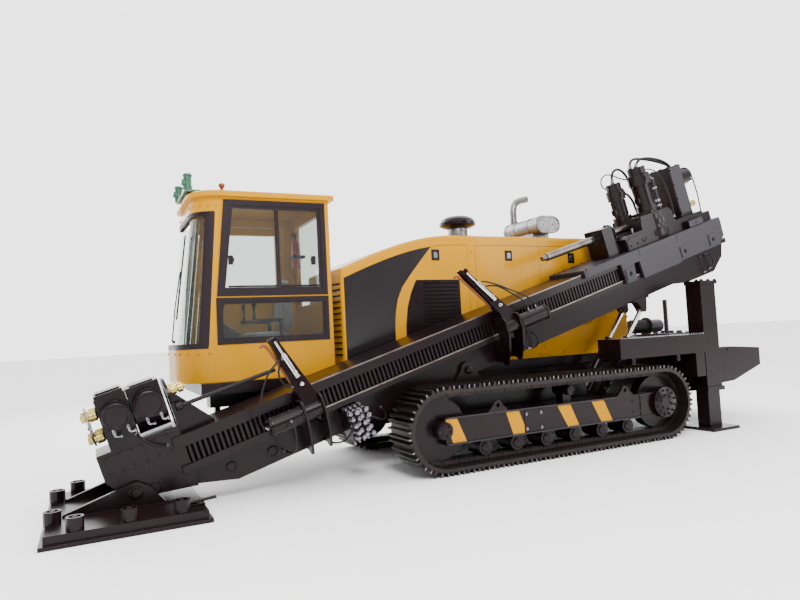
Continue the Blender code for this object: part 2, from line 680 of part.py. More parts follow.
def build_legs():
    for side, word in ((-1, "near"), (1, "far")):
        y = sorted((side * LEG_Y[0], side * LEG_Y[1]))
        hollow = block(*leg_section(y, LEG_WALL), (LEG_Z[0] + COLLAR_H, LEG_Z[1] - LEG_WALL))
        mouth = block(*leg_section(y, LEG_WALL + RUN - SLIDE), (LEG_Z[0] - LAP, LEG_Z[0] + COLLAR_H + LAP))
        # Collar and lid stand out on three sides, not towards the chassis
        proud_y = (y[0] - (COLLAR_OUT if side < 0 else 0.0), y[1] + (COLLAR_OUT if side > 0 else 0.0))
        proud_x = (LEG_X[0] - COLLAR_OUT, LEG_X[1] + COLLAR_OUT)
        collar = block(proud_x, proud_y, (LEG_Z[0], LEG_Z[0] + COLLAR_H))
        lid = block(proud_x, proud_y, (LEG_Z[1] - LID_T / 2, LEG_Z[1] + LID_T / 2))
        piece(f"leg_tube_{word}", "black_paint", block(LEG_X, y, LEG_Z), add=[collar, lid],
              cut=[hollow, mouth])
        centre_x, centre_y = sum(LEG_X) / 2, sum(y) / 2
        stem = block(*leg_section(y, LEG_WALL + RUN), (FOOT_T - LAP, LEG_Z[0] + LEG_STEM_TOP))
        foot = block((centre_x - FOOT_HALF_W, centre_x + FOOT_HALF_W),
                     (centre_y - FOOT_HALF_W, centre_y + FOOT_HALF_W), (0.0, FOOT_T))
        piece(f"leg_{word}", "black_paint", foot, add=[stem])


def build_rear():
    low = [(x, z) for x, z, _ in TAIL_PROFILE]
    high = [(x, z) for x, _, z in reversed(TAIL_PROFILE)]
    piece("rear_box", "black_paint", prism(low + high, "Y", -TAIL_HALF_Y, TAIL_HALF_Y))
    hanger = block((STEP_HANGER_X, REAR_BEAM_X[0] - GAP), STEP_Y, (STEP_HANGER_Z, REAR_BEAM_Z[1] + LAP))
    step = block(STEP_X, STEP_Y, (REAR_BEAM_Z[1] + GAP, STEP_TOP_Z))
    piece("step_box", "black_paint", step, add=[hanger])
    # Mud pump on the tail, with its drive lying over the rear beam
    seat_z = TAIL_PROFILE[0][2] + GAP
    case = block(PUMP_X, PUMP_Y, (seat_z, PUMP_TOP_Z))
    add = [along(PUMP_DRIVE_X, PUMP_DRIVE_Y, PUMP_DRIVE_Z, PUMP_DRIVE_R, 24),
           along(PUMP_FLANGE_X, PUMP_DRIVE_Y, PUMP_DRIVE_Z, PUMP_FLANGE_R, 24),
           upright(*PUMP_POST, (PUMP_TOP_Z - LAP, PUMP_POST_Z), PUMP_POST_R, 14)]
    piece("mud_pump", "grey_paint", case, add=add)


def hinges(x, face_y, span_z):
    """Two hinges for a door whose edge is at x on an outer face: pin, fixed and moving leaves."""
    axis_y = face_y + HINGE_OUT
    fixed, moving = [], []
    for share in HINGE_SHARES:
        z = span_z[0] + share * (span_z[1] - span_z[0])
        for low, leaves, side in ((z, fixed, 1), (z + HINGE_TALL + GAP, moving, -1)):
            high = low + HINGE_TALL
            leaf_x = sorted((x + side * RUN, x + side * LEAF_W))
            leaves.append(block(leaf_x, (face_y - LAP, axis_y + HINGE_R / 2), (low, high)))
            leaves.append(block(sorted((x, x + side * RUN * 2)),
                                (axis_y - HINGE_R / 2, axis_y + HINGE_R / 2), (low, high)))
            leaves.append(upright(x, axis_y, (low, high), HINGE_R, 16))
    return (x, axis_y, span_z[0]), fixed, moving


# Hood

def roof_z(x):
    """Height of the hood's roof, which rises from the front and then runs level."""
    share = (x - HOOD_X[0]) / (HOOD_SLOPE_END_X - HOOD_X[0])
    return HOOD_FRONT_Z + (HOOD_TOP_Z - HOOD_FRONT_Z) * math.sin(min(max(share, 0), 1) * math.pi / 2)


def under_roof(low, high, drop):
    """Points below the roof's line between two X, by a drop."""
    step = (HOOD_SLOPE_END_X - HOOD_X[0]) / HOOD_STEPS
    stations = [HOOD_X[0] + i * step for i in range(HOOD_STEPS + 1)]
    inner = [x for x in stations if low + step / 4 < x < high - step / 4]
    return [(x, roof_z(x) - drop) for x in (low, *inner, high)]


def side_outline(low, high, drop, foot_z):
    return [(low, foot_z), *under_roof(low, high, drop), (high, foot_z)]


def build_hood():
    near_y, far_y = HOOD_Y
    shell = prism(side_outline(*HOOD_X, 0.0, HOOD_Z0), "Y", near_y, far_y)

    def rims(one, other):
        level = abs(one.y - other.y) < SLIDE
        return level and not (abs(one.z - HOOD_Z0) < SLIDE and abs(other.z - HOOD_Z0) < SLIDE)

    shell = rounded(shell, rims, HOOD_EDGE_R)
    inside = (HOOD_X[0] + SHEET, HOOD_X[1] - SHEET)
    room = prism(side_outline(*inside, SHEET, HOOD_Z0 - LAP), "Y", near_y + SHEET, far_y - SHEET)
    through = (near_y - SHEET, near_y + SHEET * 2)
    bays = ((inside[0], PILLAR_X[0]), (PILLAR_X[1], inside[1]))
    cut = [room, together([prism(side_outline(*bay, BAND, SKIRT_Z), "Y", *through) for bay in bays])]
    slots = stacked(*LOUVRE_Z, LOUVRES, LOUVRE_H)
    cut.append(together([block((HOOD_X[0] - SHEET, HOOD_X[0] + SHEET * 2), LOUVRE_Y, z) for z in slots]))
    cut.append(together([block(x, (far_y - SHEET * 2, far_y + RUN / 2), FAR_DOOR_Z) for x in FAR_DOORS]))
    fixed_leaves = []
    for number, x in enumerate(FAR_DOORS):
        door_z = (FAR_DOOR_Z[0] + RUN, FAR_DOOR_Z[1] - RUN)
        door = block((x[0] + RUN, x[1] - RUN), (far_y - SHEET, far_y), door_z)
        pin, fixed, moving = hinges(x[1] - RUN / 2, far_y, FAR_DOOR_Z)
        fixed_leaves += fixed
        piece(f"hood_door_{number + 1}", "yellow_paint", door, add=moving, origin=pin)
    piece("hood_shell", "yellow_paint", shell, add=fixed_leaves, cut=cut)
    build_near_panels(bays)
    build_hood_top()


def build_near_panels(bays):
    """Lift-off panels of the near side, each in its opening with a seam all round."""
    seam, foot_z, drop = PANEL_SEAM, SKIRT_Z + GAP, BAND + PANEL_SEAM
    face = (HOOD_Y[0], HOOD_Y[0] + SHEET)
    edge = [(x, foot_z if z == SKIRT_Z else z) for x, z in INLAY_EDGE]
    edge.append((INLAY_TIP_X, roof_z(INLAY_TIP_X) - drop))
    left = [(x - seam / 2, z) for x, z in edge]
    right = [(x + seam / 2, z) for x, z in edge]
    front = bays[0][0] + seam
    inlay = [(front, foot_z), *left, *reversed(under_roof(front, INLAY_TIP_X - seam, drop)[:-1])]
    piece("hood_inlay", "black_paint", prism(inlay, "Y", *face))
    end = bays[0][1] - seam
    panel = [*right, *under_roof(INLAY_TIP_X + seam, end, drop)[1:], (end, foot_z)]
    hole = prism(GRILLE_OUTLINE, "Y", face[0] - SHEET, face[1] + SHEET)
    piece("hood_side_front", "yellow_paint", prism(panel, "Y", *face), cut=[hole])
    middle = sum((Vector(point) for point in GRILLE_OUTLINE), Vector((0, 0))) / len(GRILLE_OUTLINE)
    shrink = 1 - 2 * GAP
    frame = [middle + (Vector(point) - middle) * shrink for point in GRILLE_OUTLINE]
    slots = [block(GRILLE_SLOT_X, (face[0] - LAP, face[0] + GRILLE_DEEP), z)
             for z in stacked(*GRILLE_SLOT_Z, GRILLE_SLOTS, GRILLE_SLOT_H)]
    piece("radiator_grille", "black_paint", prism(frame, "Y", face[0] + RUN / 2, face[1]),
          cut=[together(slots)])
    spans = ((bays[1][0] + seam, DOOR_SEAM_X - seam / 2), (DOOR_SEAM_X + seam / 2, bays[1][1] - seam))
    for word, span in zip(("middle", "rear"), spans):
        piece(f"hood_side_{word}", "yellow_paint", prism(side_outline(*span, drop, foot_z), "Y", *face))


def build_hood_top():
    can_side = [*arc((CAN_X[0], CAN_Z), CAN_R, 90, 270, 10), *arc((CAN_X[1], CAN_Z), CAN_R, -90, 90, 10)]
    rim_side = [*arc((CAN_X[0], CAN_Z), CAN_R + CAN_RIM, 90, 270, 10),
                *arc((CAN_X[1], CAN_Z), CAN_R + CAN_RIM, -90, 90, 10)]
    rims = together([prism(rim_side, "Y", CAN_Y[0] - CAN_RIM, CAN_Y[0] + CAN_RIM_W),
                     prism(rim_side, "Y", CAN_Y[1] - CAN_RIM_W, CAN_Y[1] + CAN_RIM)])
    stand = block(CAN_STAND_X, CAN_STAND_Y, (HOOD_TOP_Z + GAP, CAN_Z - CAN_R / 2))
    stack = bent_bar([(x, STACK_Y, CAN_Z + h) for x, h in STACK_PATH], STACK_R)
    piece("silencer", "bright_steel", prism(can_side, "Y", *CAN_Y), add=[rims, stand, stack])
    piece("pre_cleaner", "black_paint", turned(CLEANER_TURNING, CLEANER_X, CLEANER_Y, HOOD_TOP_Z + GAP))


# Cab

def cab_ring(z, inset):
    """Plan of the cab at a height: flat rear and sides, both front corners rounded."""
    rise = max(0.0, z - CAB_BEND_Z)
    x0, x1 = CAB_X[0] + rise * FRONT_LEAN + inset, CAB_X[1] - inset
    y0, y1 = CAB_Y[0] + inset, CAB_Y[1] - inset
    flat = CAB_CORNER_X + rise * CORNER_LEAN
    radius = flat - x0
    near = arc((flat, y0 + radius), radius, 270, 180, CORNER_STEPS)
    far = arc((flat, y1 - radius), radius, 180, 90, CORNER_STEPS)
    return [(x, y, z) for x, y in ((x1, y0), *near, *far, (x1, y1))]


def cab_body(low, high, inset):
    """The cab's outer form between two heights, pulled in by an inset."""
    levels = [low, *([CAB_BEND_Z] if low < CAB_BEND_Z < high else []), high]
    return loft([cab_ring(z, inset) for z in levels])


def behind(line, shift=0.0):
    """All that lies behind a line up the cab's side, which is two or three X, Z points."""
    points = [(x + shift, z) for x, z in line]
    top, low = points[-1], points[0]
    return prism([(low[0], -FAR), *points, (top[0], FAR), (FAR, FAR), (FAR, -FAR)], "Y", -FAR, FAR)


def build_cab():
    z0, z1 = CAB_Z
    wall, middle = CAB_WALL, CAB_WALL / 2
    floor_top = z0 + FLOOR_T
    low, high = floor_top + GAP, z1
    piece("cab_floor", "yellow_paint", cab_body(z0, floor_top, 0.0))
    corner = [(CAB_CORNER_X, CAB_BEND_Z), (CAB_CORNER_X + (z1 - CAB_BEND_Z) * CORNER_LEAN, z1)]
    screen = [(SCREEN_EDGE_X[0], SCREEN_Z[0]), (SCREEN_EDGE_X[1], SCREEN_Z[1])]
    hole = prism([(-FAR, SCREEN_Z[0]), *screen, (-FAR, SCREEN_Z[1])], "Y", -FAR, FAR)
    piece("cab_front", "yellow_paint", cab_body(low, high, 0.0),
          cut=[cab_body(low - LAP, high + LAP, wall), behind(corner), hole])
    pane = (middle - GLASS_T / 2, middle + GLASS_T / 2)
    piece("windscreen", "window_glass", cab_body(SCREEN_Z[0] + GAP, SCREEN_Z[1] - GAP, pane[0]),
          cut=[cab_body(SCREEN_Z[0] - LAP, SCREEN_Z[1] + LAP, pane[1]), behind(screen, -GAP)])
    side = [(corner[0][0] + GAP, low), (corner[0][0] + GAP, CAB_BEND_Z), (corner[1][0] + GAP, high),
            (CAB_X[1], high), (CAB_X[1], low)]
    near_y, far_y = CAB_Y
    windows = [prism(points, "Y", near_y - wall, near_y + wall * 2)
               for points in (UPPER_WINDOW, LOWER_WINDOW)]
    piece("cab_side_near", "yellow_paint", prism(side, "Y", near_y, near_y + wall), cut=windows)
    for word, points in (("upper", UPPER_WINDOW), ("lower", LOWER_WINDOW)):
        signs = ((1, 1), (-1, 1), (-1, -1), (1, -1))
        inner = [(x + a * GAP, z + b * GAP) for (x, z), (a, b) in zip(points, signs)]
        piece(f"side_glass_{word}", "window_glass", prism(inner, "Y", near_y + pane[0], near_y + pane[1]))
    door_hole = block(CAB_DOOR_X, (far_y - wall * 2, far_y + RUN / 2), CAB_DOOR_Z)
    hinge, fixed, moving = hinges(CAB_DOOR_X[1] - RUN / 2, far_y, CAB_DOOR_Z)
    piece("cab_side_far", "yellow_paint", prism(side, "Y", far_y - wall, far_y), add=fixed, cut=[door_hole])
    rear_x = (CAB_X[1] - wall, CAB_X[1])
    rear = block(rear_x, (near_y + wall + GAP, far_y - wall - GAP), (low, high))
    rear_hole = block((rear_x[0] - LAP, rear_x[1] + LAP), REAR_WINDOW_Y, REAR_WINDOW_Z)
    piece("cab_rear", "yellow_paint", rear, cut=[rear_hole])
    piece("rear_glass", "window_glass",
          block((rear_x[1] - pane[1], rear_x[1] - pane[0]), (REAR_WINDOW_Y[0] + GAP, REAR_WINDOW_Y[1] - GAP),
                (REAR_WINDOW_Z[0] + GAP, REAR_WINDOW_Z[1] - GAP)))
    piece("cab_roof", "yellow_paint", loft([cab_ring(z, inset) for z, inset in ROOF_RINGS]))
    build_cab_door(hinge, moving, pane)
    build_cab_inside(floor_top)


def build_cab_door(hinge, moving, pane):
    x = (CAB_DOOR_X[0] + RUN, CAB_DOOR_X[1] - RUN)
    z = (CAB_DOOR_Z[0] + RUN, CAB_DOOR_Z[1] - RUN)
    face = CAB_Y[1]
    light_x = (x[0] + DOOR_RAIL, x[1] - DOOR_RAIL)
    light_z = (z[0] + DOOR_PANEL, z[1] - DOOR_RAIL)
    hole = block(light_x, (face - CAB_WALL * 2, face + CAB_WALL), light_z)
    piece("cab_door", "yellow_paint", block(x, (face - CAB_WALL, face), z), add=moving, cut=[hole],
          origin=hinge)
    piece("door_glass", "window_glass",
          block((light_x[0] + GAP, light_x[1] - GAP), (face - pane[1], face - pane[0]),
                (light_z[0] + GAP, light_z[1] - GAP)), origin=hinge)


def build_cab_inside(floor_top):
    cushion, cushion_top, back_top = (floor_top + height for height in SEAT_Z)
    back = block((SEAT_X[1] - SEAT_BACK_T, SEAT_X[1]), SEAT_Y, (cushion_top - LAP, back_top))
    post = block((SEAT_X[0] + SEAT_POST, SEAT_X[1] - SEAT_POST),
                 (SEAT_Y[0] + SEAT_POST, SEAT_Y[1] - SEAT_POST), (floor_top + GAP, cushion + LAP))
    piece("seat", "seat_cloth", block(SEAT_X, SEAT_Y, (cushion, cushion_top)), add=[back, post])
    foot = floor_top + GAP
    outline = [(CONSOLE_X[0], foot), (CONSOLE_X[1], foot), (CONSOLE_X[1], foot + CONSOLE_H[0]),
               (CONSOLE_X[0], foot + CONSOLE_H[1])]
    piece("console", "grey_paint", prism(outline, "Y", *CONSOLE_Y))
    seat_z = ROOF_RINGS[-1][0] + GAP
    plate_z = seat_z + LAMP_PLATE_T
    plate = block(LAMP_PLATE_X, (LAMPS[0][1] - LAMP_R, LAMPS[1][1] + LAMP_R), (seat_z, plate_z))
    lamps = [upright(x, y, (plate_z - LAP, plate_z + LAMP_H), LAMP_R) for x, y in LAMPS]
    piece("work_lamps", "lamp_green", plate, add=lamps)


# Drill frame and what it carries, in the frame of its pivot

def world_to_boom(x, z):
    dx, dz = x - PIVOT_X, z - PIVOT_Z
    c, s = math.cos(BOOM_ANGLE), math.sin(BOOM_ANGLE)
    return dx * c + dz * s, -dx * s + dz * c


def boom_to_world(s, n):
    c, k = math.cos(BOOM_ANGLE), math.sin(BOOM_ANGLE)
    return PIVOT_X + s * c - n * k, PIVOT_Z + s * k + n * c


def rack_outline():
    """Plan of the rack: teeth on both edges, each from its root to its flat tip."""
    count = int((RACK_S[1] - RACK_S[0]) / RACK_PITCH)
    edge = []
    for tooth in range(count):
        s = RACK_S[0] + tooth * RACK_PITCH
        edge += [(s, RACK_ROOT), *((s + RACK_PITCH * share, RACK_TIP) for share in TOOTH)]
    return [(s, -t) for s, t in edge] + list(reversed(edge))


def build_boom():
    pivot = empty("boom_pivot", (PIVOT_X, BOOM_Y, PIVOT_Z), (0, -BOOM_ANGLE, 0))
    web = [(FOOT_S[1], FOOT_HEEL_N), WEB_TOE, *WEB_TAIL, (WEB_TAIL[-1][0], LEDGE_N[0] + LAP),
           (FOOT_S[1], LEDGE_N[0] + LAP)]
    pin = world_to_boom(*ANCHOR_PIN)
    foot = [(FOOT_S[0], FOOT_FACE_N), *arc(pin, ANCHOR_BOSS_R, 190, 300, 6), (FOOT_S[1] + LAP, FOOT_HEEL_N),
            (FOOT_S[1] + LAP, FOOT_TOP_N), (FOOT_S[0], FOOT_TOP_N)]
    add = [block(RAIL_S, (-RAIL_HALF, RAIL_HALF), LEDGE_N),
           prism(rack_outline(), "Z", LEDGE_N[1] - LAP, RAIL_N[0] + LAP),
           block(RAIL_S, (-RAIL_HALF, RAIL_HALF), RAIL_N),
           prism(foot, "Y", -FOOT_HALF, FOOT_HALF),
           across(*pin, CHEEK_IN + CHEEK_T * 2, ANCHOR_PIN_R),
           across(0, 0, WEB_HALF + RUN + EAR_T + LAP, PIVOT_R, sides=24)]
    # Brackets under the web for the lift cylinders' eyes
    for edge in (-1, 1):
        t = edge * LIFT_SPREAD
        inner, outer = LIFT_EYE_HALF + RUN, LIFT_EYE_HALF + RUN + LIFT_CHEEK_T
        for cheek in (-1, 1):
            outline = [(LIFT_TOP_S - LIFT_EYE_R * 2, WEB_N + LAP),
                       *arc((LIFT_TOP_S, LIFT_TOP_N), LIFT_EYE_R, 180, 360, 8),
                       (LIFT_TOP_S + LIFT_EYE_R * 2, WEB_N + LAP)]
            add.append(prism(outline, "Y", *sorted((t + cheek * inner, t + cheek * outer))))
        add.append(block((LIFT_TOP_S - LIFT_EYE_R * 3, LIFT_TOP_S + LIFT_EYE_R * 3), (t - outer, t + outer),
                         (WEB_N - LAP, WEB_N + LAP)))
    piece("drill_frame", "black_paint", prism(web, "Y", -WEB_HALF, WEB_HALF), add=add, parent=pivot)
    return pivot


def build_anchor():
    x, z = ANCHOR_PIN
    holder = empty("anchor_pivot", (x, BOOM_Y, z))
    span = (ANCHOR_X[0] - x, ANCHOR_X[1] - x)
    low = block(span, ANCHOR_Y, (-z, -z + ANCHOR_LIP_T))
    lip = ANCHOR_LIP
    top = -z + ANCHOR_TOP_Z
    add = [block((span[0] + lip, span[1] - lip), (ANCHOR_Y[0] + lip, ANCHOR_Y[1] - lip),
                 (-z + ANCHOR_LIP_T - LAP, top))]
    foot = top - LAP
    outline = [(CHEEK_HEEL[-1][0], foot), *reversed(CHEEK_HEEL), *arc((0, 0), CHEEK_TOP_R, 45, 115, 5),
               CHEEK_FRONT, (CHEEK_FRONT[0], foot)]
    for edge in (-1, 1):
        add.append(prism(outline, "Y", *sorted((edge * CHEEK_IN, edge * (CHEEK_IN + CHEEK_T)))))
    add.append(together([upright(a, b, (foot, top + SOCKET_H), SOCKET_R, 14) for a, b in SOCKETS]))
    bores = together([upright(a, b, (top + SOCKET_H - SOCKET_DEPTH, top + SOCKET_H + LAP), SOCKET_BORE_R, 10)
                      for a, b in SOCKETS])
    hole = across(0, 0, CHEEK_IN * 2, ANCHOR_PIN_R + SLIDE)
    piece("anchor_plate", "black_paint", low, add=add, cut=[hole, bores], parent=holder)


def ram(s):
    """A clamp ram across the drill frame, with a flange where it leaves the vise's body."""
    return [across(s, RAM_N, RAM_HALF, RAM_R, sides=24),
            across(s, RAM_N, RAM_FLANGE_END, RAM_FLANGE_R, sides=24)]


def build_vises(pivot):
    base_n = FOOT_TOP_N + GAP
    body = block(VISE_FRONT_S, (-VISE_HALF, VISE_HALF), (base_n, VISE_TOP_N))
    cap = block((VISE_FRONT_S[0] + LAP, VISE_FRONT_S[1] - LAP), (-VISE_HALF + LAP, VISE_HALF - LAP),
                (VISE_TOP_N - LAP, VISE_TOP_N + VISE_CAP_T))
    bore = along((FOOT_S[0], WEB_TOE[0]), 0, DRILL_N, VISE_BORE_R)
    # The breakout vise turns on this sleeve
    sleeve = along((VISE_FRONT_S[1] - LAP, SLEEVE_END_S), 0, DRILL_N, SLEEVE_R, 36)
    piece("vise_front", "black_paint", body, add=[*ram(sum(VISE_FRONT_S) / 2), cap, sleeve], cut=[bore],
          parent=pivot)
    # The rear vise is round below, so that it can turn over the frame's foot
    shape = [*arc((0, DRILL_N), VISE_ROUND_R, 180, 360, 14), (VISE_ROUND_R, VISE_TOP_N),
             (-VISE_ROUND_R, VISE_TOP_N)]
    middle = sum(VISE_REAR_S) / 2
    bore = along((FOOT_S[0], WEB_TOE[0]), 0, DRILL_N, VISE_BORE_R)
    seat = along((VISE_REAR_S[0] - LAP, SLEEVE_END_S + RUN), 0, DRILL_N, SLEEVE_R + SLIDE, 36)
    piece("vise_rear", "black_paint", prism(shape, "X", *VISE_REAR_S), add=ram(middle), cut=[bore, seat],
          parent=pivot, origin=(middle, 0, DRILL_N))


def build_arms(pivot):
    for number, (low, high, lean, drum_end) in enumerate(ARMS):
        t, n = ARM_PIN
        ahead = drum_end < low
        middle = (low + high) / 2
        origin = (middle, t, n)
        foot = [(low, ARM_LOW_T[0]), (high, ARM_LOW_T[0]), (high, ARM_LOW_T[1]), (low, ARM_LOW_T[1])]
        top_s = (middle + lean - ARM_TOP_W / 2, middle + lean + ARM_TOP_W / 2)
        head = [(top_s[0], ARM_TOP_T[0]), (top_s[1], ARM_TOP_T[0]), (top_s[1], ARM_TOP_T[1]),
                (top_s[0], ARM_TOP_T[1])]
        share = (ARM_BEND_N - n) / (ARM_TOP_N - n)
        bend = [(s, y + share * (other - y)) for (s, y), (_, other) in zip(foot, head)]
        levels = ((foot, n), (bend, ARM_BEND_N), (head, ARM_TOP_N))
        arm = loft([[(s, y, height) for s, y in ring] for ring, height in levels])
        span = (low - RUN - STRAP_T, high + RUN + STRAP_T)
        pin = along((span[0] + GAP, span[1] - GAP), t, n, ARM_PIN_R)
        piece(f"rod_arm_{number + 1}", "black_paint", arm,
              add=[along((low, high), t, n, ARM_HUB_R), pin], parent=pivot, origin=origin)
        straps = [prism(STRAP, "X", start, start + STRAP_T) for start in (span[0], high + RUN)]
        plate = block(span, (STRAP[0][0] - STRAP_T, STRAP[0][0]), (STRAP[0][1], STRAP[1][1]))
        drum = along(sorted((drum_end, span[0] + LAP if ahead else span[1] - LAP)), t, n, DRUM_R, 24)
        hole = along(span, t, n, ARM_PIN_R + SLIDE)
        piece(f"arm_drive_{number + 1}", "black_paint", plate, add=[*straps, drum], cut=[hole], parent=pivot)
    valve = block(VALVE_S, VALVE_T, VALVE_N)
    piece("valve_block", "bright_steel", valve, parent=pivot)


def build_carriage(pivot):
    bottom = RAIL_N[1] + GAP
    top = bottom + DECK_T
    inner = RAIL_HALF + RUN
    deck = block(CARRIAGE_S, (-CARRIAGE_T, CARRIAGE_T), (bottom, top))
    skirt = [*CARRIAGE_SKIRT, (CARRIAGE_S[1], top), (CARRIAGE_S[0], top)]
    add = [prism(skirt, "Y", *sorted((edge * inner, edge * CARRIAGE_T))) for edge in (-1, 1)]
    lugs, holes = [], []
    for s in LUG_S:
        lugs.append(block((s - LUG_HALF, s + LUG_HALF), (-CARRIAGE_T - LUG_T, -inner - SLIDE),
                          (LUG_N - LUG_HALF, LUG_N + LUG_HALF)))
        holes.append(across(s, LUG_N, LUG_T * 5, LUG_HOLE_R, -CARRIAGE_T, 14))
    guide = block(GUIDE_S, (-GUIDE_HALF, GUIDE_HALF), (top - LAP, GUIDE_TOP_N))
    hole = along((GUIDE_S[0] - LAP, GUIDE_S[1] + LAP), 0, DRILL_N, SPINDLE_R + RUN, 24)
    piece("carriage", "grey_paint", deck, add=[*add, together(lugs), guide], cut=[hole, together(holes)],
          parent=pivot)
    build_power_head(pivot, top + GAP)


def build_power_head(pivot, seat_n):
    housing = prism([(s, n or seat_n) for s, n in HOUSING], "Y", -HOUSING_HALF, HOUSING_HALF)
    add = [upright(DRIVE_S, DRIVE_T, (max(low, seat_n), high), radius, 28)
           for radius, low, high in DRIVE_DISCS]
    for s, t, discs in MOTORS:
        foot = HOUSING[3][1] - LAP
        for radius, high in discs:
            add.append(upright(s, t, (foot, high), radius))
            foot = high - LAP
    add += [block(TOWER_S, TOWER_T, (HOUSING[7][1] - LAP, TOWER_TOP_N)),
            block(CLAMP_S, CLAMP_T, (seat_n, CLAMP_TOP_N)),
            block((HOUSING[8][0] - LAP, REAR_BOX_S[1]), REAR_BOX_T, (seat_n, REAR_BOX_TOP_N)),
            along(TOWER_PUMP_S, 0, TOWER_PUMP_N, TOWER_PUMP_R)]
    bore = along((HOUSING[0][0] - LAP, SPINDLE_S[1] + RUN), 0, DRILL_N, SPINDLE_R + SLIDE, 24)
    piece("power_head", "black_paint", housing, add=add, cut=[bore], parent=pivot)
    tip_r, neck_r, length = SPINDLE_NOSE
    shaft = along((SPINDLE_S[0] + length - LAP, SPINDLE_S[1]), 0, DRILL_N, SPINDLE_R, 24)
    tip = rod((SPINDLE_S[0], 0, DRILL_N), (SPINDLE_S[0] + length, 0, DRILL_N), tip_r, 20, neck_r)
    piece("spindle", "bright_steel", shaft, add=[tip], parent=pivot, origin=(sum(SPINDLE_S) / 2, 0, DRILL_N))


def build_lift():
    top_x, top_z = boom_to_world(LIFT_TOP_S, LIFT_TOP_N)
    reach = Vector((top_x - LIFT_BASE[0], 0, top_z - LIFT_BASE[1]))
    angle = math.atan2(reach.z, reach.x)
    for edge, word in ((-1, "near"), (1, "far")):
        y = BOOM_Y + edge * LIFT_SPREAD
        holder = empty(f"lift_{word}_foot", (LIFT_BASE[0], y, LIFT_BASE[1]), (0, -angle, 0))
        barrel = along((BARREL_R, BARREL_LEN), 0, 0, BARREL_R)
        eye = across(0, 0, LIFT_EYE_HALF, LIFT_EYE_R, sides=18)
        neck = block((0.0, BARREL_R * 1.5), (-LIFT_EYE_HALF + LAP / 2, LIFT_EYE_HALF - LAP / 2),
                     (-LIFT_EYE_HALF, LIFT_EYE_HALF))
        pin = across(0, 0, LIFT_EYE_HALF * 2, LIFT_PIN_R + SLIDE, sides=24)
        bore = along((BARREL_R * 2, BARREL_LEN + LAP), 0, 0, ROD_R + SLIDE)
        piece(f"lift_barrel_{word}", "black_paint", barrel, add=[eye, neck], cut=[pin, bore], parent=holder)
        shaft = along((ROD_BASE, reach.length - ROD_R), 0, 0, ROD_R)
        head = across(reach.length, 0, LIFT_EYE_HALF - LAP / 2, LIFT_EYE_R - LAP / 2, sides=18)
        piece(f"lift_rod_{word}", "bright_steel", shaft, add=[head], parent=holder)


def main():
    clear_scene()
    for name in MATERIALS:
        make_material(name)
    empty("machine", (-(ANCHOR_X[0] + TAIL_X) / 2, 0, 0))
    build_tracks()
    build_track_frames()
    build_chassis()
    build_legs()
    build_rear()
    build_hood()
    build_cab()
    pivot = build_boom()
    build_anchor()
    build_vises(pivot)
    build_arms(pivot)
    build_carriage(pivot)
    build_lift()


main()
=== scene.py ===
"""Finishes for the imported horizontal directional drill, with the small parts it carries.

The solids are the fixed frame. +X points to the rear of the machine, -Y to the side of
the drill frame, +Z up, all in metres.
"""
import json
import math

import bmesh
import bpy
from bpy.props import FloatProperty, FloatVectorProperty, IntProperty, PointerProperty
from mathutils import Matrix, Vector


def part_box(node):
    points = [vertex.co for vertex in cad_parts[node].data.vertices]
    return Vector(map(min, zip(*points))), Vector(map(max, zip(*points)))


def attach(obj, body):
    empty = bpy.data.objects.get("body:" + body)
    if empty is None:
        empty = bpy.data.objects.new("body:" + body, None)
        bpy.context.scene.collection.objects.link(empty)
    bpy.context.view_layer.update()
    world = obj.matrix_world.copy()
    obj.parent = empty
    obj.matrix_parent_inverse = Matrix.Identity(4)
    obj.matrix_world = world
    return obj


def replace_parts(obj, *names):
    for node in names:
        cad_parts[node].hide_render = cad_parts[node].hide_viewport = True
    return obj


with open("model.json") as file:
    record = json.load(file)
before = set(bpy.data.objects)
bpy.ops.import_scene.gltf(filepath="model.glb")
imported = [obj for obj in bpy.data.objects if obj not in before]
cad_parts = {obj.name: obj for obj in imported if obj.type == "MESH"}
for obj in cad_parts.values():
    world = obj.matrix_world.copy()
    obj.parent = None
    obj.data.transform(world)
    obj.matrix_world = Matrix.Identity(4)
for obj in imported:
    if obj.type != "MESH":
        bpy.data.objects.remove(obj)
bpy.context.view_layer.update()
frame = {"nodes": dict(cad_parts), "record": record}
solids = frame["nodes"]

bl_info = {
    "name": "Directional drill finishes",
    "version": (1, 0, 0),
    "blender": (4, 5, 0),
    "location": "3D View > Sidebar > Drill",
    "description": "Paint, glass, hoses and fastenings of a crawler directional drill",
    "category": "Object",
}

MM = 0.001
# Two frames: the machine's, whose X starts close to the middle between the track axles, and
# the drill frame's, with s along it to the rear, t across it and n up from it
TRACK_MIDDLE_X = 0.02
SHIFT_X = (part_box("track_near")[0].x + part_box("track_near")[1].x) / 2 - TRACK_MIDDLE_X
MACHINE = Matrix.Translation((SHIFT_X, 0.0, 0.0))
PIVOT = Vector((-0.87 + SHIFT_X, -0.45, 0.945))
BOOM_ANGLE = math.radians(16.5)
BOOM = Matrix.Translation(PIVOT) @ Matrix.Rotation(-BOOM_ANGLE, 4, "Y")

# Camera, solved from edges and bolts in the photograph, and the floor it looks over
CAMERA_PLACE = Vector((-4.4185 + SHIFT_X, -6.3141, 1.3741))
CAMERA_YAW = math.radians(26.21)
CAMERA_PITCH = math.radians(2.98)
CAMERA_ROLL = math.radians(-3.01)
FOCAL_PIXELS = 628.9
PICTURE_WIDTH = 800
SENSOR_WIDTH = 36.0
FLOOR_RADIUS = 120.0

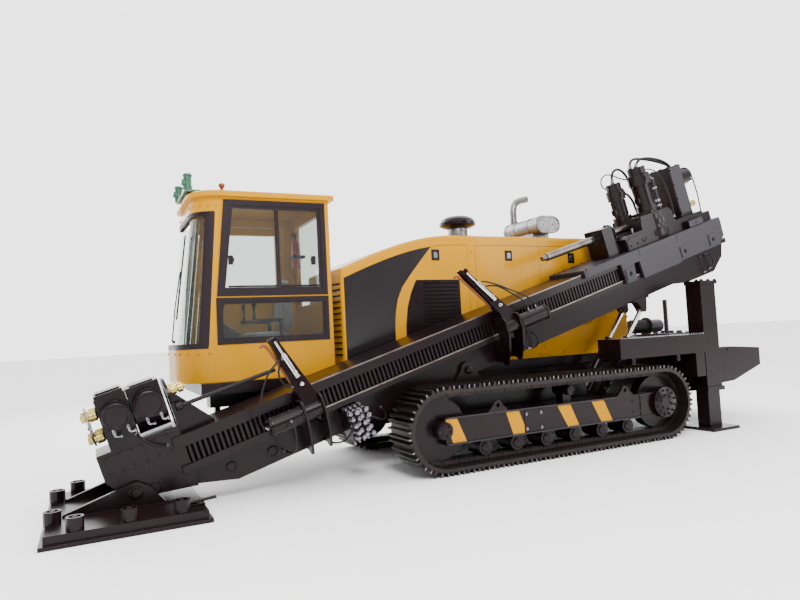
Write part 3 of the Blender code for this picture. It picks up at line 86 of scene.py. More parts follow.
# Tracks, as in the solids
AXLES = (-1.43, 1.47)
AXLE_Z = 0.423
TRACK_Y = 0.9
SHOE_W = 0.45
SHOE_COUNT = 47
SHOE_PITCH = 0.1715
LINK_R = 0.325
GROUSER_R = 0.4075
BEAM_FACE_Y = 1.058
ROLLERS_X = (-0.95, -0.57, -0.19, 0.19, 0.57, 0.95)

# Cab, as in the solids
CAB_FRONT_X = -3.68
CAB_CORNER_X = -3.345
CAB_BEND_Z = 1.33
FRONT_LEAN = 0.126
CORNER_LEAN = 0.0733
CAB_WIDTH = 1.2
SCREEN_Z = (1.33, 2.66)
SCREEN_EDGE_X = (-3.405, -3.3)
UPPER_WINDOW = ((-3.296, 1.834), (-2.17, 1.834), (-2.168, 2.781), (-3.202, 2.781))
LOWER_WINDOW = ((-3.306, 1.36), (-2.17, 1.36), (-2.166, 1.797), (-3.305, 1.797))

# Hood: three of its outer faces, the pulls of its doors, and what stands on it
HOOD_NEAR_Y = -0.1
HOOD_FAR_Y = 1.02
HOOD_REAR_X = 2.02
DOOR_PULLS_X = (-1.27, -0.07)
SILENCER_X = (0.85, 1.02)
SILENCER_Z = 2.68
SILENCER_R = 0.108
CLEANER = (-0.285, 0.35)

# Drill frame: the drill string, the top of the rails and of the carriage's base, the outer face of
# the vises' plates, the middle of their rams, and both ends of the power head's guide
DRILL_N = 0.81
RAIL_N = 0.5045
CARRIAGE_N = 0.5455
VISE_PLATE_T = 0.24
RAM_N = 0.855
GUIDE_S = (2.3905, 2.5595)
# Rod arms: the line their drums turn about, and their foot and tip above it
DRUM_T, DRUM_N = -0.425, 0.305
ARM_BEND_N, ARM_TIP_N = 0.465, 1.02
ARM_TIP_T = -0.3125
# Motors of the power head: s, t, low and high end of the casing, radius
MOTORS = ((3.09, 0.14, 0.96, 1.16, 0.088), (3.33, -0.07, 1.02, 1.26, 0.105))

# Directions
UP, DOWN = (0, 0, 1), (0, 0, -1)
REARWARDS, FORWARDS = (1, 0, 0), (-1, 0, 0)
FARWARDS, NEARWARDS = (0, 1, 0), (0, -1, 0)


def linear(hex_colour):
    """An sRGB hex colour as linear RGBA."""
    digits = hex_colour.lstrip("#")
    shares = [int(digits[i:i + 2], 16) / 255 for i in (0, 2, 4)]
    return (*[c / 12.92 if c <= 0.04045 else ((c + 0.055) / 1.055) ** 2.4 for c in shares], 1.0)


def add(tree, kind, output, inputs=None, **settings):
    """Adds a node and gives back one output. An input takes a value or another node's output."""
    made = tree.nodes.new(kind)
    for name, value in settings.items():
        setattr(made, name, value)
    for name, value in (inputs or {}).items():
        if isinstance(value, bpy.types.NodeSocket):
            tree.links.new(value, made.inputs[name])
        else:
            made.inputs[name].default_value = value
    return made.outputs[output]


def per_mm(size):
    """The scale of a pattern whose grain has a size in millimetres."""
    return 1 / (size * MM)


# Finishes

def start_finish(name):
    """An empty material with a Principled shader, and the object's own coordinates."""
    made = bpy.data.materials.new(name)
    made.use_nodes = True
    tree = made.node_tree
    return tree, add(tree, "ShaderNodeTexCoord", "Object")


def end_finish(tree, **inputs):
    """Sets the shader's sockets, each by its name with _ for a space."""
    shader = tree.nodes["Principled BSDF"]
    for name, value in inputs.items():
        socket = shader.inputs[name.replace("_", " ")]
        if isinstance(value, bpy.types.NodeSocket):
            tree.links.new(value, socket)
        else:
            socket.default_value = value


def sprayed(name, colour, dust, rough, wave_mm, dust_share, **more):
    """Sprayed enamel: slight waves of the sheet, soft blotches, and a film of dust on what looks up."""
    tree, place = start_finish(name)
    blotch = add(tree, "ShaderNodeTexNoise", "Fac", {"Vector": place, "Scale": per_mm(350), "Detail": 4.0})
    speck = add(tree, "ShaderNodeTexNoise", "Fac",
                {"Vector": place, "Scale": per_mm(40), "Detail": 6.0, "Roughness": 0.7})
    wave = add(tree, "ShaderNodeTexNoise", "Fac", {"Vector": place, "Scale": per_mm(wave_mm)})
    normal = add(tree, "ShaderNodeNewGeometry", "Normal")
    up = add(tree, "ShaderNodeSeparateXYZ", "Z", {"Vector": normal})
    level = add(tree, "ShaderNodeMapRange", "Result", {"Value": up, "From Min": 0.3, "From Max": 1.0})
    film = add(tree, "ShaderNodeMapRange", "Result", {"Value": speck, "From Min": 0.35, "From Max": 0.75,
               "To Min": 0.2 * dust_share, "To Max": dust_share})
    dusty = add(tree, "ShaderNodeMath", "Value", {0: level, 1: film}, operation="MULTIPLY")
    darker = (*[c * 0.84 for c in colour[:3]], 1.0)
    coat = add(tree, "ShaderNodeMix", 2, {0: blotch, 6: colour, 7: darker}, data_type="RGBA")
    shade = add(tree, "ShaderNodeMix", 2, {0: dusty, 6: coat, 7: dust}, data_type="RGBA")
    gloss = add(tree, "ShaderNodeMapRange", "Result", {"Value": speck, "From Min": 0.3, "From Max": 0.7,
                "To Min": rough - 0.02, "To Max": rough + 0.05})
    edge = add(tree, "ShaderNodeBevel", "Normal", {"Radius": 4 * MM}, samples=3)
    bump = add(tree, "ShaderNodeBump", "Normal", {"Height": wave, "Distance": 0.4 * MM, "Normal": edge})
    end_finish(tree, Base_Color=shade, Roughness=gloss, Normal=bump, **more)


def yellow_enamel(look):
    """Two-part enamel on pressed sheet: semi-gloss, deep yellow, slightly uneven."""
    sprayed("yellow_enamel", tuple(look.yellow), linear("#D8A650"), 0.28, 120, 0.04, Coat_Weight=0.1,
            Coat_Roughness=0.06, Specular_IOR_Level=0.1)


def black_enamel(look):
    """Satin black enamel on plate and castings: warm, with greyish dust on top."""
    sprayed("black_enamel", tuple(look.black), linear("#352C30"), 0.28, 90, 0.1, Coat_Weight=0.04,
            Coat_Roughness=0.12, Specular_IOR_Level=0.18)


def gloss_black_enamel(look):
    """Gloss black enamel of the hood's inlay: nearly clean, with clear highlights."""
    sprayed("gloss_black_enamel", linear("#171013"), linear("#5A5056"), 0.22, 160, 0.05, Coat_Weight=0.35,
            Coat_Roughness=0.08)


def grey_enamel(look):
    """Satin grey enamel on the wear plates of the carriage."""
    sprayed("grey_enamel", tuple(look.grey), linear("#5E5A62"), 0.4, 90, 0.12, Specular_IOR_Level=0.3)


def orange_enamel(look):
    """Orange-brown primer enamel on the grippers and the roof's knob."""
    sprayed("orange_enamel", linear("#7A3A14"), linear("#8A6040"), 0.45, 60, 0.15)


def red_enamel(look):
    """Glossy red enamel of the extinguisher and the valve's cap."""
    sprayed("red_enamel", linear("#A3201F"), linear("#B06A60"), 0.25, 60, 0.05, Coat_Weight=0.5,
            Coat_Roughness=0.08)


def hazard_yellow(look):
    """Reflective vinyl stripes on the track frames: flat, fine-grained, clean yellow."""
    tree, place = start_finish("hazard_yellow")
    grain = add(tree, "ShaderNodeTexVoronoi", "Distance", {"Vector": place, "Scale": per_mm(3)})
    dirt = add(tree, "ShaderNodeTexNoise", "Fac", {"Vector": place, "Scale": per_mm(60), "Detail": 5.0})
    soiled = add(tree, "ShaderNodeMapRange", "Result", {"Value": dirt, "From Min": 0.55, "From Max": 0.8,
                 "To Max": 0.35})
    shade = add(tree, "ShaderNodeMix", 2, {0: soiled, 6: tuple(look.stripe), 7: linear("#8A6A30")},
                data_type="RGBA")
    bump = add(tree, "ShaderNodeBump", "Normal", {"Height": grain, "Distance": 0.05 * MM})
    end_finish(tree, Base_Color=shade, Roughness=0.42, Specular_IOR_Level=0.05, Normal=bump)


def rolled_steel(look):
    """Bare hot-rolled track shoes: dark scale, dust and a little rust between the grousers."""
    tree, place = start_finish("rolled_steel")
    rust = add(tree, "ShaderNodeTexNoise", "Fac", {"Vector": place, "Scale": per_mm(120), "Detail": 5.0})
    grit = add(tree, "ShaderNodeTexNoise", "Fac",
               {"Vector": place, "Scale": per_mm(12), "Detail": 6.0, "Roughness": 0.7})
    rusted = add(tree, "ShaderNodeMapRange", "Result", {"Value": rust, "From Min": 0.45, "From Max": 0.75})
    dusted = add(tree, "ShaderNodeMapRange", "Result", {"Value": grit, "From Min": 0.5, "From Max": 0.85,
                 "To Max": 0.4})
    scale = add(tree, "ShaderNodeMix", 2, {0: rusted, 6: tuple(look.steel), 7: linear("#2C1C18")},
                data_type="RGBA")
    shade = add(tree, "ShaderNodeMix", 2, {0: dusted, 6: scale, 7: linear("#4A403E")}, data_type="RGBA")
    gloss = add(tree, "ShaderNodeMapRange", "Result", {"Value": grit, "From Min": 0.3, "From Max": 0.7,
                "To Min": 0.36, "To Max": 0.62})
    edge = add(tree, "ShaderNodeBevel", "Normal", {"Radius": 3 * MM}, samples=3)
    bump = add(tree, "ShaderNodeBump", "Normal", {"Height": grit, "Distance": 0.5 * MM, "Normal": edge})
    end_finish(tree, Base_Color=shade, Metallic=0.5, Roughness=gloss, Normal=bump)


def metal(name, colour, stain, rough, mark_mm, depth_mm, stain_mm=90):
    """Bare or plated metal: a base colour with stains, and tool marks or grain in its gloss."""
    tree, place = start_finish(name)
    marks = add(tree, "ShaderNodeTexNoise", "Fac", {"Vector": place, "Scale": per_mm(mark_mm)})
    cloud = add(tree, "ShaderNodeTexNoise", "Fac",
                {"Vector": place, "Scale": per_mm(stain_mm), "Detail": 4.0})
    stained = add(tree, "ShaderNodeMapRange", "Result", {"Value": cloud, "From Min": 0.42, "From Max": 0.75})
    shade = add(tree, "ShaderNodeMix", 2, {0: stained, 6: colour, 7: stain}, data_type="RGBA")
    gloss = add(tree, "ShaderNodeMapRange", "Result", {"Value": marks, "From Min": 0.3, "From Max": 0.7,
                "To Min": rough, "To Max": rough + 0.12})
    bump = add(tree, "ShaderNodeBump", "Normal", {"Height": marks, "Distance": depth_mm * MM})
    end_finish(tree, Base_Color=shade, Metallic=1.0, Roughness=gloss, Normal=bump)


def chromed_steel(look):
    """Hard chrome on ground bar: bright, with fine turning marks."""
    metal("chromed_steel", tuple(look.bright), linear("#A8A39C"), 0.16, 3, 0.03)


def worn_steel(look):
    """Bare steel that other steel slides or turns in: grey-brown, with bright wear."""
    metal("worn_steel", linear("#7C736E"), linear("#51473F"), 0.26, 12, 0.05, 160)


def aluminised_steel(look):
    """Aluminised sheet of the silencer: pale, soft gleam, a little stained by heat."""
    metal("aluminised_steel", linear("#8A888A"), linear("#6E6A6A"), 0.36, 60, 0.15)


def zinc_plate(look):
    """Zinc plating on hose fittings and screws: silvery, slightly dull."""
    metal("zinc_plate", linear("#8C8A90"), linear("#57545B"), 0.3, 5, 0.05, 40)


def yellow_zinc(look):
    """Yellow-passivated zinc on the large nuts and the swivel: pale brass with green tints."""
    metal("yellow_zinc", linear("#C9AE62"), linear("#8F8A5A"), 0.3, 5, 0.05, 30)


def tempered_glass(look):
    """Tempered cab glass: clear with a grey-green cast and clean reflections."""
    tree, place = start_finish("tempered_glass")
    wave = add(tree, "ShaderNodeTexNoise", "Fac", {"Vector": place, "Scale": per_mm(400)})
    bump = add(tree, "ShaderNodeBump", "Normal", {"Height": wave, "Distance": 0.4 * MM})
    end_finish(tree, Base_Color=tuple(look.glass), Roughness=0.02, IOR=1.52, Transmission_Weight=0.98,
               Normal=bump)


def moulded_rubber(name, colour, rough, grain_mm):
    """Black rubber or soft plastic: fine grain, no gleam but a soft sheen."""
    tree, place = start_finish(name)
    grain = add(tree, "ShaderNodeTexNoise", "Fac",
                {"Vector": place, "Scale": per_mm(grain_mm), "Detail": 4.0})
    cloud = add(tree, "ShaderNodeTexNoise", "Fac", {"Vector": place, "Scale": per_mm(150)})
    paler = (*[c * 1.5 for c in colour[:3]], 1.0)
    shade = add(tree, "ShaderNodeMix", 2, {0: cloud, 6: colour, 7: paler}, data_type="RGBA")
    gloss = add(tree, "ShaderNodeMapRange", "Result", {"Value": grain, "To Min": rough - 0.08,
                "To Max": rough + 0.08})
    bump = add(tree, "ShaderNodeBump", "Normal", {"Height": grain, "Distance": 0.1 * MM})
    end_finish(tree, Base_Color=shade, Roughness=gloss, Specular_IOR_Level=0.25, Normal=bump)


def window_rubber(look):
    """Extruded seals and aluminium window frames in dull plum black."""
    moulded_rubber("window_rubber", linear("#1A1116"), 0.4, 2)


def hose_rubber(look):
    """Wrapped rubber cover of hydraulic hoses: dull black with the mark of the wrapping cloth."""
    moulded_rubber("hose_rubber", linear("#0E0A0B"), 0.5, 1.5)


def seat_vinyl(look):
    """Grained vinyl over foam: mid grey, soft sheen, creases where the foam gives, with painted shade in
    their hollows and painted light on their crowns.
    """
    tree, place = start_finish("seat_vinyl")
    grain = add(tree, "ShaderNodeTexVoronoi", "Distance", {"Vector": place, "Scale": per_mm(4)})
    crease = add(tree, "ShaderNodeTexNoise", "Fac", {"Vector": place, "Scale": per_mm(60), "Detail": 5.0})
    # The colour follows the creases' bump: painted shade in the hollows, painted light on the crowns
    shade = add(tree, "ShaderNodeMix", 2, {0: crease, 6: linear("#6A6468"), 7: linear("#8A8488")},
                data_type="RGBA")
    bump = add(tree, "ShaderNodeBump", "Normal", {"Height": grain, "Distance": 0.3 * MM})
    soft = add(tree, "ShaderNodeBump", "Normal", {"Height": crease, "Distance": 2 * MM, "Normal": bump})
    end_finish(tree, Base_Color=shade, Roughness=0.55, Sheen_Weight=0.1, Normal=soft)


def lamp_lens(look):
    """Moulded polycarbonate lamp: green, glossy, with ribs round it."""
    tree, place = start_finish("lamp_lens")
    ribs = add(tree, "ShaderNodeTexWave", "Fac", {"Vector": place, "Scale": per_mm(16)},
               bands_direction="Z")
    bump = add(tree, "ShaderNodeBump", "Normal", {"Height": ribs, "Distance": 0.5 * MM})
    end_finish(tree, Base_Color=linear("#1E5A3E"), Roughness=0.22, Transmission_Weight=0.1, Normal=bump)


def studio_paper(look):
    """Matt white paper of a studio sweep."""
    tree, place = start_finish("studio_paper")
    fibre = add(tree, "ShaderNodeTexNoise", "Fac", {"Vector": place, "Scale": per_mm(30)})
    bump = add(tree, "ShaderNodeBump", "Normal", {"Height": fibre, "Distance": 0.02 * MM})
    end_finish(tree, Base_Color=tuple(look.floor), Roughness=0.95, Specular_IOR_Level=0.1, Normal=bump)


FINISHES = (yellow_enamel, black_enamel, gloss_black_enamel, grey_enamel, orange_enamel, red_enamel,
            hazard_yellow, rolled_steel, worn_steel, chromed_steel, aluminised_steel, zinc_plate, yellow_zinc,
            tempered_glass, window_rubber, hose_rubber, seat_vinyl, lamp_lens, studio_paper)
# The record's slot of each finish, for solids as they come and for new pieces
SLOT_FINISH = {"black_paint": "black_enamel", "yellow_paint": "yellow_enamel", "grey_paint": "grey_enamel",
               "track_steel": "rolled_steel", "bright_steel": "chromed_steel",
               "window_glass": "tempered_glass", "seat_cloth": "seat_vinyl", "lamp_green": "lamp_lens"}
OWN_FINISH = {"silencer": "aluminised_steel", "hood_inlay": "gloss_black_enamel",
              "valve_block": "black_enamel", "spindle": "worn_steel"}


# Making pieces

def spokes(count):
    """Even angles all the way round."""
    return [2 * math.pi * i / count for i in range(count)]


def about_string(wide, high):
    """A round outline about the drill string, across the drill frame and up from it."""
    return [(wide * math.cos(a), DRILL_N + high * math.sin(a)) for a in spokes(32)]


class Stock:
    """Solids of one finish, built up in a frame of their own and ended as one piece."""

    def __init__(self, place=MACHINE):
        self.mesh = bmesh.new()
        self.place = place

    def block(self, *spans):
        """A box between two places along each axis, in any order."""
        spans = [sorted(span) for span in spans]
        size = [high - low for low, high in spans]
        middle = Vector([low + high for low, high in spans]) / 2
        made = bmesh.ops.create_cube(self.mesh, size=1.0)["verts"]
        bmesh.ops.transform(self.mesh, matrix=Matrix.Translation(middle) @ Matrix.Diagonal((*size, 1.0)),
                            verts=made)
        return made

    def ring(self, outline, axis, level):
        """Corners of an outline in the other two axes, in X, Y, Z order, at a place along an axis."""
        spot = "XYZ".index(axis)
        return [self.mesh.verts.new((*point[:spot], level, *point[spot:])) for point in outline]

    def plate(self, outline, axis, low, high):
        """An outline extruded along an axis."""
        self.skin([self.ring(outline, axis, level) for level in sorted((low, high))], close=True)

    def skin(self, rings, close=False):
        """Walls between rings of points, with caps at both ends where it is closed."""
        for low, high in zip(rings, rings[1:]):
            for i, corner in enumerate(low):
                j = (i + 1) % len(low)
                self.mesh.faces.new((corner, low[j], high[j], high[i]))
        if close:
            self.mesh.faces.new(list(reversed(rings[0])))
            self.mesh.faces.new(rings[-1])

    def round_ring(self, middle, side, other, radius, sides):
        """Corners round a middle, in the plane of two directions."""
        return [self.mesh.verts.new(middle + radius * (side * math.cos(a) + other * math.sin(a)))
                for a in spokes(sides)]

    def lathe(self, start, ahead, profile, sides=32):
        """A turned shape from a point on, along a direction: distance and radius at each step."""
        ahead = Vector(ahead).normalized()
        side = ahead.orthogonal().normalized()
        other = ahead.cross(side)
        self.skin([self.round_ring(Vector(start) + ahead * distance, side, other, radius, sides)
                   for distance, radius in profile], close=True)

    def bar(self, start, end, radius, sides=24, edge=0.0015):
        """A round bar whose ends are chamfered."""
        start, end = Vector(start), Vector(end)
        length = (end - start).length
        edge = min(edge, radius / 3, length / 3)
        self.lathe(start, end - start, ((0, radius - edge), (edge, radius), (length - edge, radius),
                                        (length, radius - edge)), sides)

    def tube(self, path, radius, sides=12):
        """A round bar along a smooth path, without twist."""
        points = [Vector(point) for point in path]
        side = (points[1] - points[0]).orthogonal().normalized()
        rings = []
        for i, point in enumerate(points):
            ahead = (points[min(i + 1, len(points) - 1)] - points[max(i - 1, 0)]).normalized()
            side = (side - ahead * side.dot(ahead)).normalized()
            rings.append(self.round_ring(point, side, ahead.cross(side), radius, sides))
        self.skin(rings, close=True)

    def hexagon(self, start, ahead, across, height):
        """A nut or a bolt's head with its corners turned off."""
        radius = across / math.sqrt(3)
        self.lathe(start, ahead, ((0, radius), (height * 0.82, radius), (height, radius * 0.86)), 6)

    def frame(self, outer, inner, axis, low, high):
        """A flat ring between two outlines with as many corners each."""
        sides = ((outer, low), (outer, high), (inner, high), (inner, low))
        rings = [self.ring(outline, axis, level) for outline, level in sides]
        self.skin([*rings, rings[0]])

    def data(self, name):
        """The work so far as a mesh, its faces pointing outwards, in world coordinates."""
        bmesh.ops.transform(self.mesh, matrix=self.place, verts=self.mesh.verts)
        bmesh.ops.recalc_face_normals(self.mesh, faces=self.mesh.faces)
        data = bpy.data.meshes.new(name)
        self.mesh.to_mesh(data)
        self.mesh.free()
        return data

    def end(self, name, finish, body, bevel_mm=0.0):
        """Closes the work: one object at the origin that rides on a body."""
        return own(name, self.data(name), finish, body, bevel_mm)


def home(body):
    """The frame in which a body's small parts are given."""
    return MACHINE if body.startswith(("root", "barrel", "cab", "hood", "leg")) else BOOM


def own(name, data, finish, body, bevel_mm=0.0):
    """An object of the scene with its finish, riding on a body."""
    made = bpy.data.objects.new(name, data)
    bpy.context.scene.collection.objects.link(made)
    if not data.materials:
        data.materials.append(bpy.data.materials[finish])
    if hasattr(data, "shade_smooth"):
        data.shade_smooth()
        data.set_sharp_from_angle(angle=math.radians(35))
    if bevel_mm:
        edge = made.modifiers.new("edge", "BEVEL")
        edge.width = bevel_mm * MM
        edge.segments = 2
        edge.limit_method = "ANGLE"
        edge.angle_limit = math.radians(40)
    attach(made, body)
    return made


def smooth_path(points, count):
    """Evenly spaced points on a smooth curve through a few given ones."""
    knots = [Vector(point) for point in points]
    knots = [knots[0] * 2 - knots[1], *knots, knots[-1] * 2 - knots[-2]]
    fine = []
    for a, b, c, d in zip(knots, knots[1:], knots[2:], knots[3:]):
        for i in range(24):
            t = i / 24
            fine.append(0.5 * (2 * b + (c - a) * t + (2 * a - 5 * b + 4 * c - d) * t * t
                               + (3 * b - a - 3 * c + d) * t ** 3))
    fine.append(knots[-2])
    reach = [0.0]
    for a, b in zip(fine, fine[1:]):
        reach.append(reach[-1] + (b - a).length)
    even, k = [], 0
    for i in range(count):
        want = reach[-1] * i / (count - 1)
        while k < len(fine) - 2 and reach[k + 1] < want:
            k += 1
        share = (want - reach[k]) / max(reach[k + 1] - reach[k], 1e-9)
        even.append(fine[k].lerp(fine[k + 1], min(max(share, 0.0), 1.0)))
    return even


def cab_corner(z):
    """Where the cab's round front corners end in X at a height, and their radius."""
    rise = max(0.0, z - CAB_BEND_Z)
    flat = CAB_CORNER_X + rise * CORNER_LEAN
    return flat, flat - (CAB_FRONT_X + rise * FRONT_LEAN)


def cab_point(z, angle, out=0.0):
    """A point on the cab's near front corner: 270 degrees is its side, 180 its front."""
    flat, radius = cab_corner(z)
    turn = math.radians(angle)
    return Vector((flat + (radius + out) * math.cos(turn), radius + (radius + out) * math.sin(turn), z))


def opposite(point):
    """The same point or direction on the other side of the machine's or the drill frame's middle."""
    return Vector((point[0], -point[1], point[2]))


def mirrored(point):
    """The same point on the far half of the cab."""
    return Vector((point.x, CAB_WIDTH - point.y, point.z))


# Geometry Nodes that repeat a part

def start_tree(name, inputs):
    """A node tree that takes a mesh, with further named inputs, and gives a mesh."""
    tree = bpy.data.node_groups.new(name, "GeometryNodeTree")
    tree.interface.new_socket("Geometry", in_out="INPUT", socket_type="NodeSocketGeometry")
    for label, kind, value in inputs:
        socket = tree.interface.new_socket(label, in_out="INPUT", socket_type=kind)
        if value is not None:
            socket.default_value = value
    tree.interface.new_socket("Geometry", in_out="OUTPUT", socket_type="NodeSocketGeometry")
    entry = tree.nodes.new("NodeGroupInput")
    return tree, entry.outputs


def end_tree(tree, instances, finish):
    """Ends a tree: instances made real, with one material."""
    solid = add(tree, "GeometryNodeRealizeInstances", 0, {0: instances})
    dressed = add(tree, "GeometryNodeSetMaterial", 0, {"Geometry": solid, "Material": finish})
    leave = tree.nodes.new("NodeGroupOutput")
    tree.links.new(dressed, leave.inputs[0])


def screw_tree():
    """Puts a washer and a hexagon head on every point of a mesh, turned the way it faces."""
    tree, given = start_tree("screws", (
        ("Head height", "NodeSocketFloat", 0.62), ("Washer width", "NodeSocketFloat", 1.75),
        ("Finish", "NodeSocketMaterial", None)))
    facing = add(tree, "GeometryNodeInputNamedAttribute", "Attribute", {"Name": "facing"},
                 data_type="FLOAT_VECTOR")
    across = add(tree, "GeometryNodeInputNamedAttribute", "Attribute", {"Name": "across"}, data_type="FLOAT")
    head = add(tree, "GeometryNodeMeshCylinder", "Mesh", {"Vertices": 6, "Radius": 1 / math.sqrt(3),
               "Depth": given["Head height"]})
    washer = add(tree, "GeometryNodeMeshCylinder", "Mesh", {"Vertices": 12, "Depth": 0.16,
                 "Radius": add(tree, "ShaderNodeMath", 0, {0: given["Washer width"], 1: 0.5},
                               operation="MULTIPLY")})
    lift = add(tree, "ShaderNodeCombineXYZ", 0, {"Z": add(tree, "ShaderNodeMath", 0,
               {0: given["Head height"], 1: 0.5}, operation="MULTIPLY")})
    both = tree.nodes.new("GeometryNodeJoinGeometry")
    for part in (add(tree, "GeometryNodeTransform", 0, {"Geometry": head, "Translation": lift}), washer):
        tree.links.new(part, both.inputs[0])
    turn = add(tree, "FunctionNodeAlignRotationToVector", 0, {"Vector": facing}, axis="Z")
    placed = add(tree, "GeometryNodeInstanceOnPoints", 0, {"Points": given["Geometry"],
                 "Instance": both.outputs[0], "Rotation": turn, "Scale": across})
    end_tree(tree, placed, given["Finish"])
    return tree


def row_tree():
    """Repeats one part at even steps along a line."""
    tree, given = start_tree("row", (
        ("Count", "NodeSocketInt", 8), ("Step", "NodeSocketVector", (0.1, 0, 0)),
        ("Finish", "NodeSocketMaterial", None)))
    line = add(tree, "GeometryNodeMeshLine", 0, {"Count": given["Count"], "Offset": given["Step"]})
    placed = add(tree, "GeometryNodeInstanceOnPoints", 0, {"Points": line, "Instance": given["Geometry"]})
    end_tree(tree, placed, given["Finish"])
    return tree


def link_tree():
    """Puts a plate with a round boss at each end on every point, turned about Y by its own angle."""
    tree, given = start_tree("links", (
        ("Length", "NodeSocketFloat", 0.12), ("Height", "NodeSocketFloat", 0.045),
        ("Thickness", "NodeSocketFloat", 0.012), ("Boss radius", "NodeSocketFloat", 0.024),
        ("Finish", "NodeSocketMaterial", None)))
    turn = add(tree, "GeometryNodeInputNamedAttribute", "Attribute", {"Name": "turn"}, data_type="FLOAT")
    size = add(tree, "ShaderNodeCombineXYZ", 0, {"X": given["Length"], "Y": given["Thickness"],
               "Z": given["Height"]})
    plate = add(tree, "GeometryNodeMeshCube", "Mesh", {"Size": size})
    boss = add(tree, "GeometryNodeMeshCylinder", "Mesh", {"Vertices": 12, "Radius": given["Boss radius"],
               "Depth": add(tree, "ShaderNodeMath", 0, {0: given["Thickness"], 1: 1.3},
                            operation="MULTIPLY")})
    both = tree.nodes.new("GeometryNodeJoinGeometry")
    tree.links.new(plate, both.inputs[0])
    for side in (-0.5, 0.5):
        way = add(tree, "ShaderNodeCombineXYZ", 0, {"X": add(tree, "ShaderNodeMath", 0,
                  {0: given["Length"], 1: side}, operation="MULTIPLY")})
        turned = add(tree, "GeometryNodeTransform", 0, {"Geometry": boss, "Translation": way,
                     "Rotation": (math.pi / 2, 0, 0)})
        tree.links.new(turned, both.inputs[0])
    euler = add(tree, "ShaderNodeCombineXYZ", 0, {"Y": turn})
    spin = add(tree, "FunctionNodeEulerToRotation", 0, {0: euler})
    placed = add(tree, "GeometryNodeInstanceOnPoints", 0, {"Points": given["Geometry"],
                 "Instance": both.outputs[0], "Rotation": spin})
    end_tree(tree, placed, given["Finish"])
    return tree


def grow(name, data, tree, inputs, finish, body):
    """Runs a tree on a mesh and keeps what it makes as a plain piece."""
    seed = bpy.data.objects.new(name + "_seed", data)
    bpy.context.scene.collection.objects.link(seed)
    change = seed.modifiers.new("grow", "NODES")
    change.node_group = tree
    sockets = {item.name: item.identifier for item in tree.interface.items_tree if item.in_out == "INPUT"}
    for label, value in {**inputs, "Finish": bpy.data.materials[finish]}.items():
        change[sockets[label]] = value
    ready = seed.evaluated_get(bpy.context.evaluated_depsgraph_get())
    made = bpy.data.meshes.new_from_object(ready)
    seed.modifiers.remove(change)
    bpy.data.objects.remove(seed, do_unlink=True)
    made.name = name
    return own(name, made, finish, body)


def dotted(points, **attributes):
    """A mesh of loose points, with values of their own: a vector where a value has three numbers."""
    data = bpy.data.meshes.new("points")
    data.from_pydata([tuple(point) for point in points], [], [])
    for name, values in attributes.items():
        vector = hasattr(values[0], "__len__")
        layer = data.attributes.new(name, "FLOAT_VECTOR" if vector else "FLOAT", "POINT")
        for slot, value in zip(layer.data, values):
            if vector:
                slot.vector = value
            else:
                slot.value = value
    return data


# Sizes and colours a user may change

def colour_choice(name, description, hex_colour):
    return FloatVectorProperty(name=name, description=description, subtype="COLOR", size=4,
                               min=0.0, max=1.0, default=linear(hex_colour))


def length_choice(name, description, millimetres):
    return FloatProperty(name=name, description=description, unit="LENGTH", min=0.0005, max=1.0,
                         default=millimetres * MM)


class DrillColours(bpy.types.PropertyGroup):
    yellow: colour_choice("Yellow enamel", "Hood and cab", "#C98C00")
    black: colour_choice("Black enamel", "Drill frame, chassis and trim", "#16090D")
    grey: colour_choice("Grey enamel", "Carriage plates", "#2A272D")
    steel: colour_choice("Track steel", "Bare track shoes", "#1C1416")
    bright: colour_choice("Bright steel", "Chromed rods and the spindle", "#D8D6D2")
    stripe: colour_choice("Stripe yellow", "Stripes on the track frames", "#BE8300")
    glass: colour_choice("Cab glass", "Cast of the windows", "#DAE2DE")
    floor: colour_choice("Floor", "Studio paper", "#FFFFFF")


class DrillSizes(bpy.types.PropertyGroup):
    small_screw: length_choice("Small screw", "Width across the flats of sheet screws", 18)
    large_screw: length_choice("Large screw", "Width across the flats of structural bolts", 30)
    frame_upper: length_choice("Upper window frame", "Width of the black frame", 75)
    frame_lower: length_choice("Lower window frame", "Width of the black frame", 50)
    seal: length_choice("Windscreen seal", "Width of the black band at its sides", 90)
    hose: length_choice("Hose", "Outside diameter of the drive hoses", 32)
    thin_hose: length_choice("Thin hose", "Outside diameter of the pilot hoses", 17)
    tread_teeth: IntProperty(name="Tread teeth", description="Teeth along the step's edge", default=34,
                             min=4, max=80)


def sizes():
    return bpy.context.scene.drill_sizes


class DRILL_OT_finishes(bpy.types.Operator):
    """Make every finish and put it on the solids of the machine"""
    bl_idname = "drill.finishes"
    bl_label = "Finishes"

    def execute(self, context):
        for finish in FINISHES:
            finish(context.scene.drill_colours)
        slots = {part["node"]: part["material_slot"] for part in frame["record"]["subparts"]}
        for name, solid in solids.items():
            solid.data.materials.clear()
            solid.data.materials.append(bpy.data.materials[OWN_FINISH.get(name, SLOT_FINISH[slots[name]])])
        return {"FINISHED"}


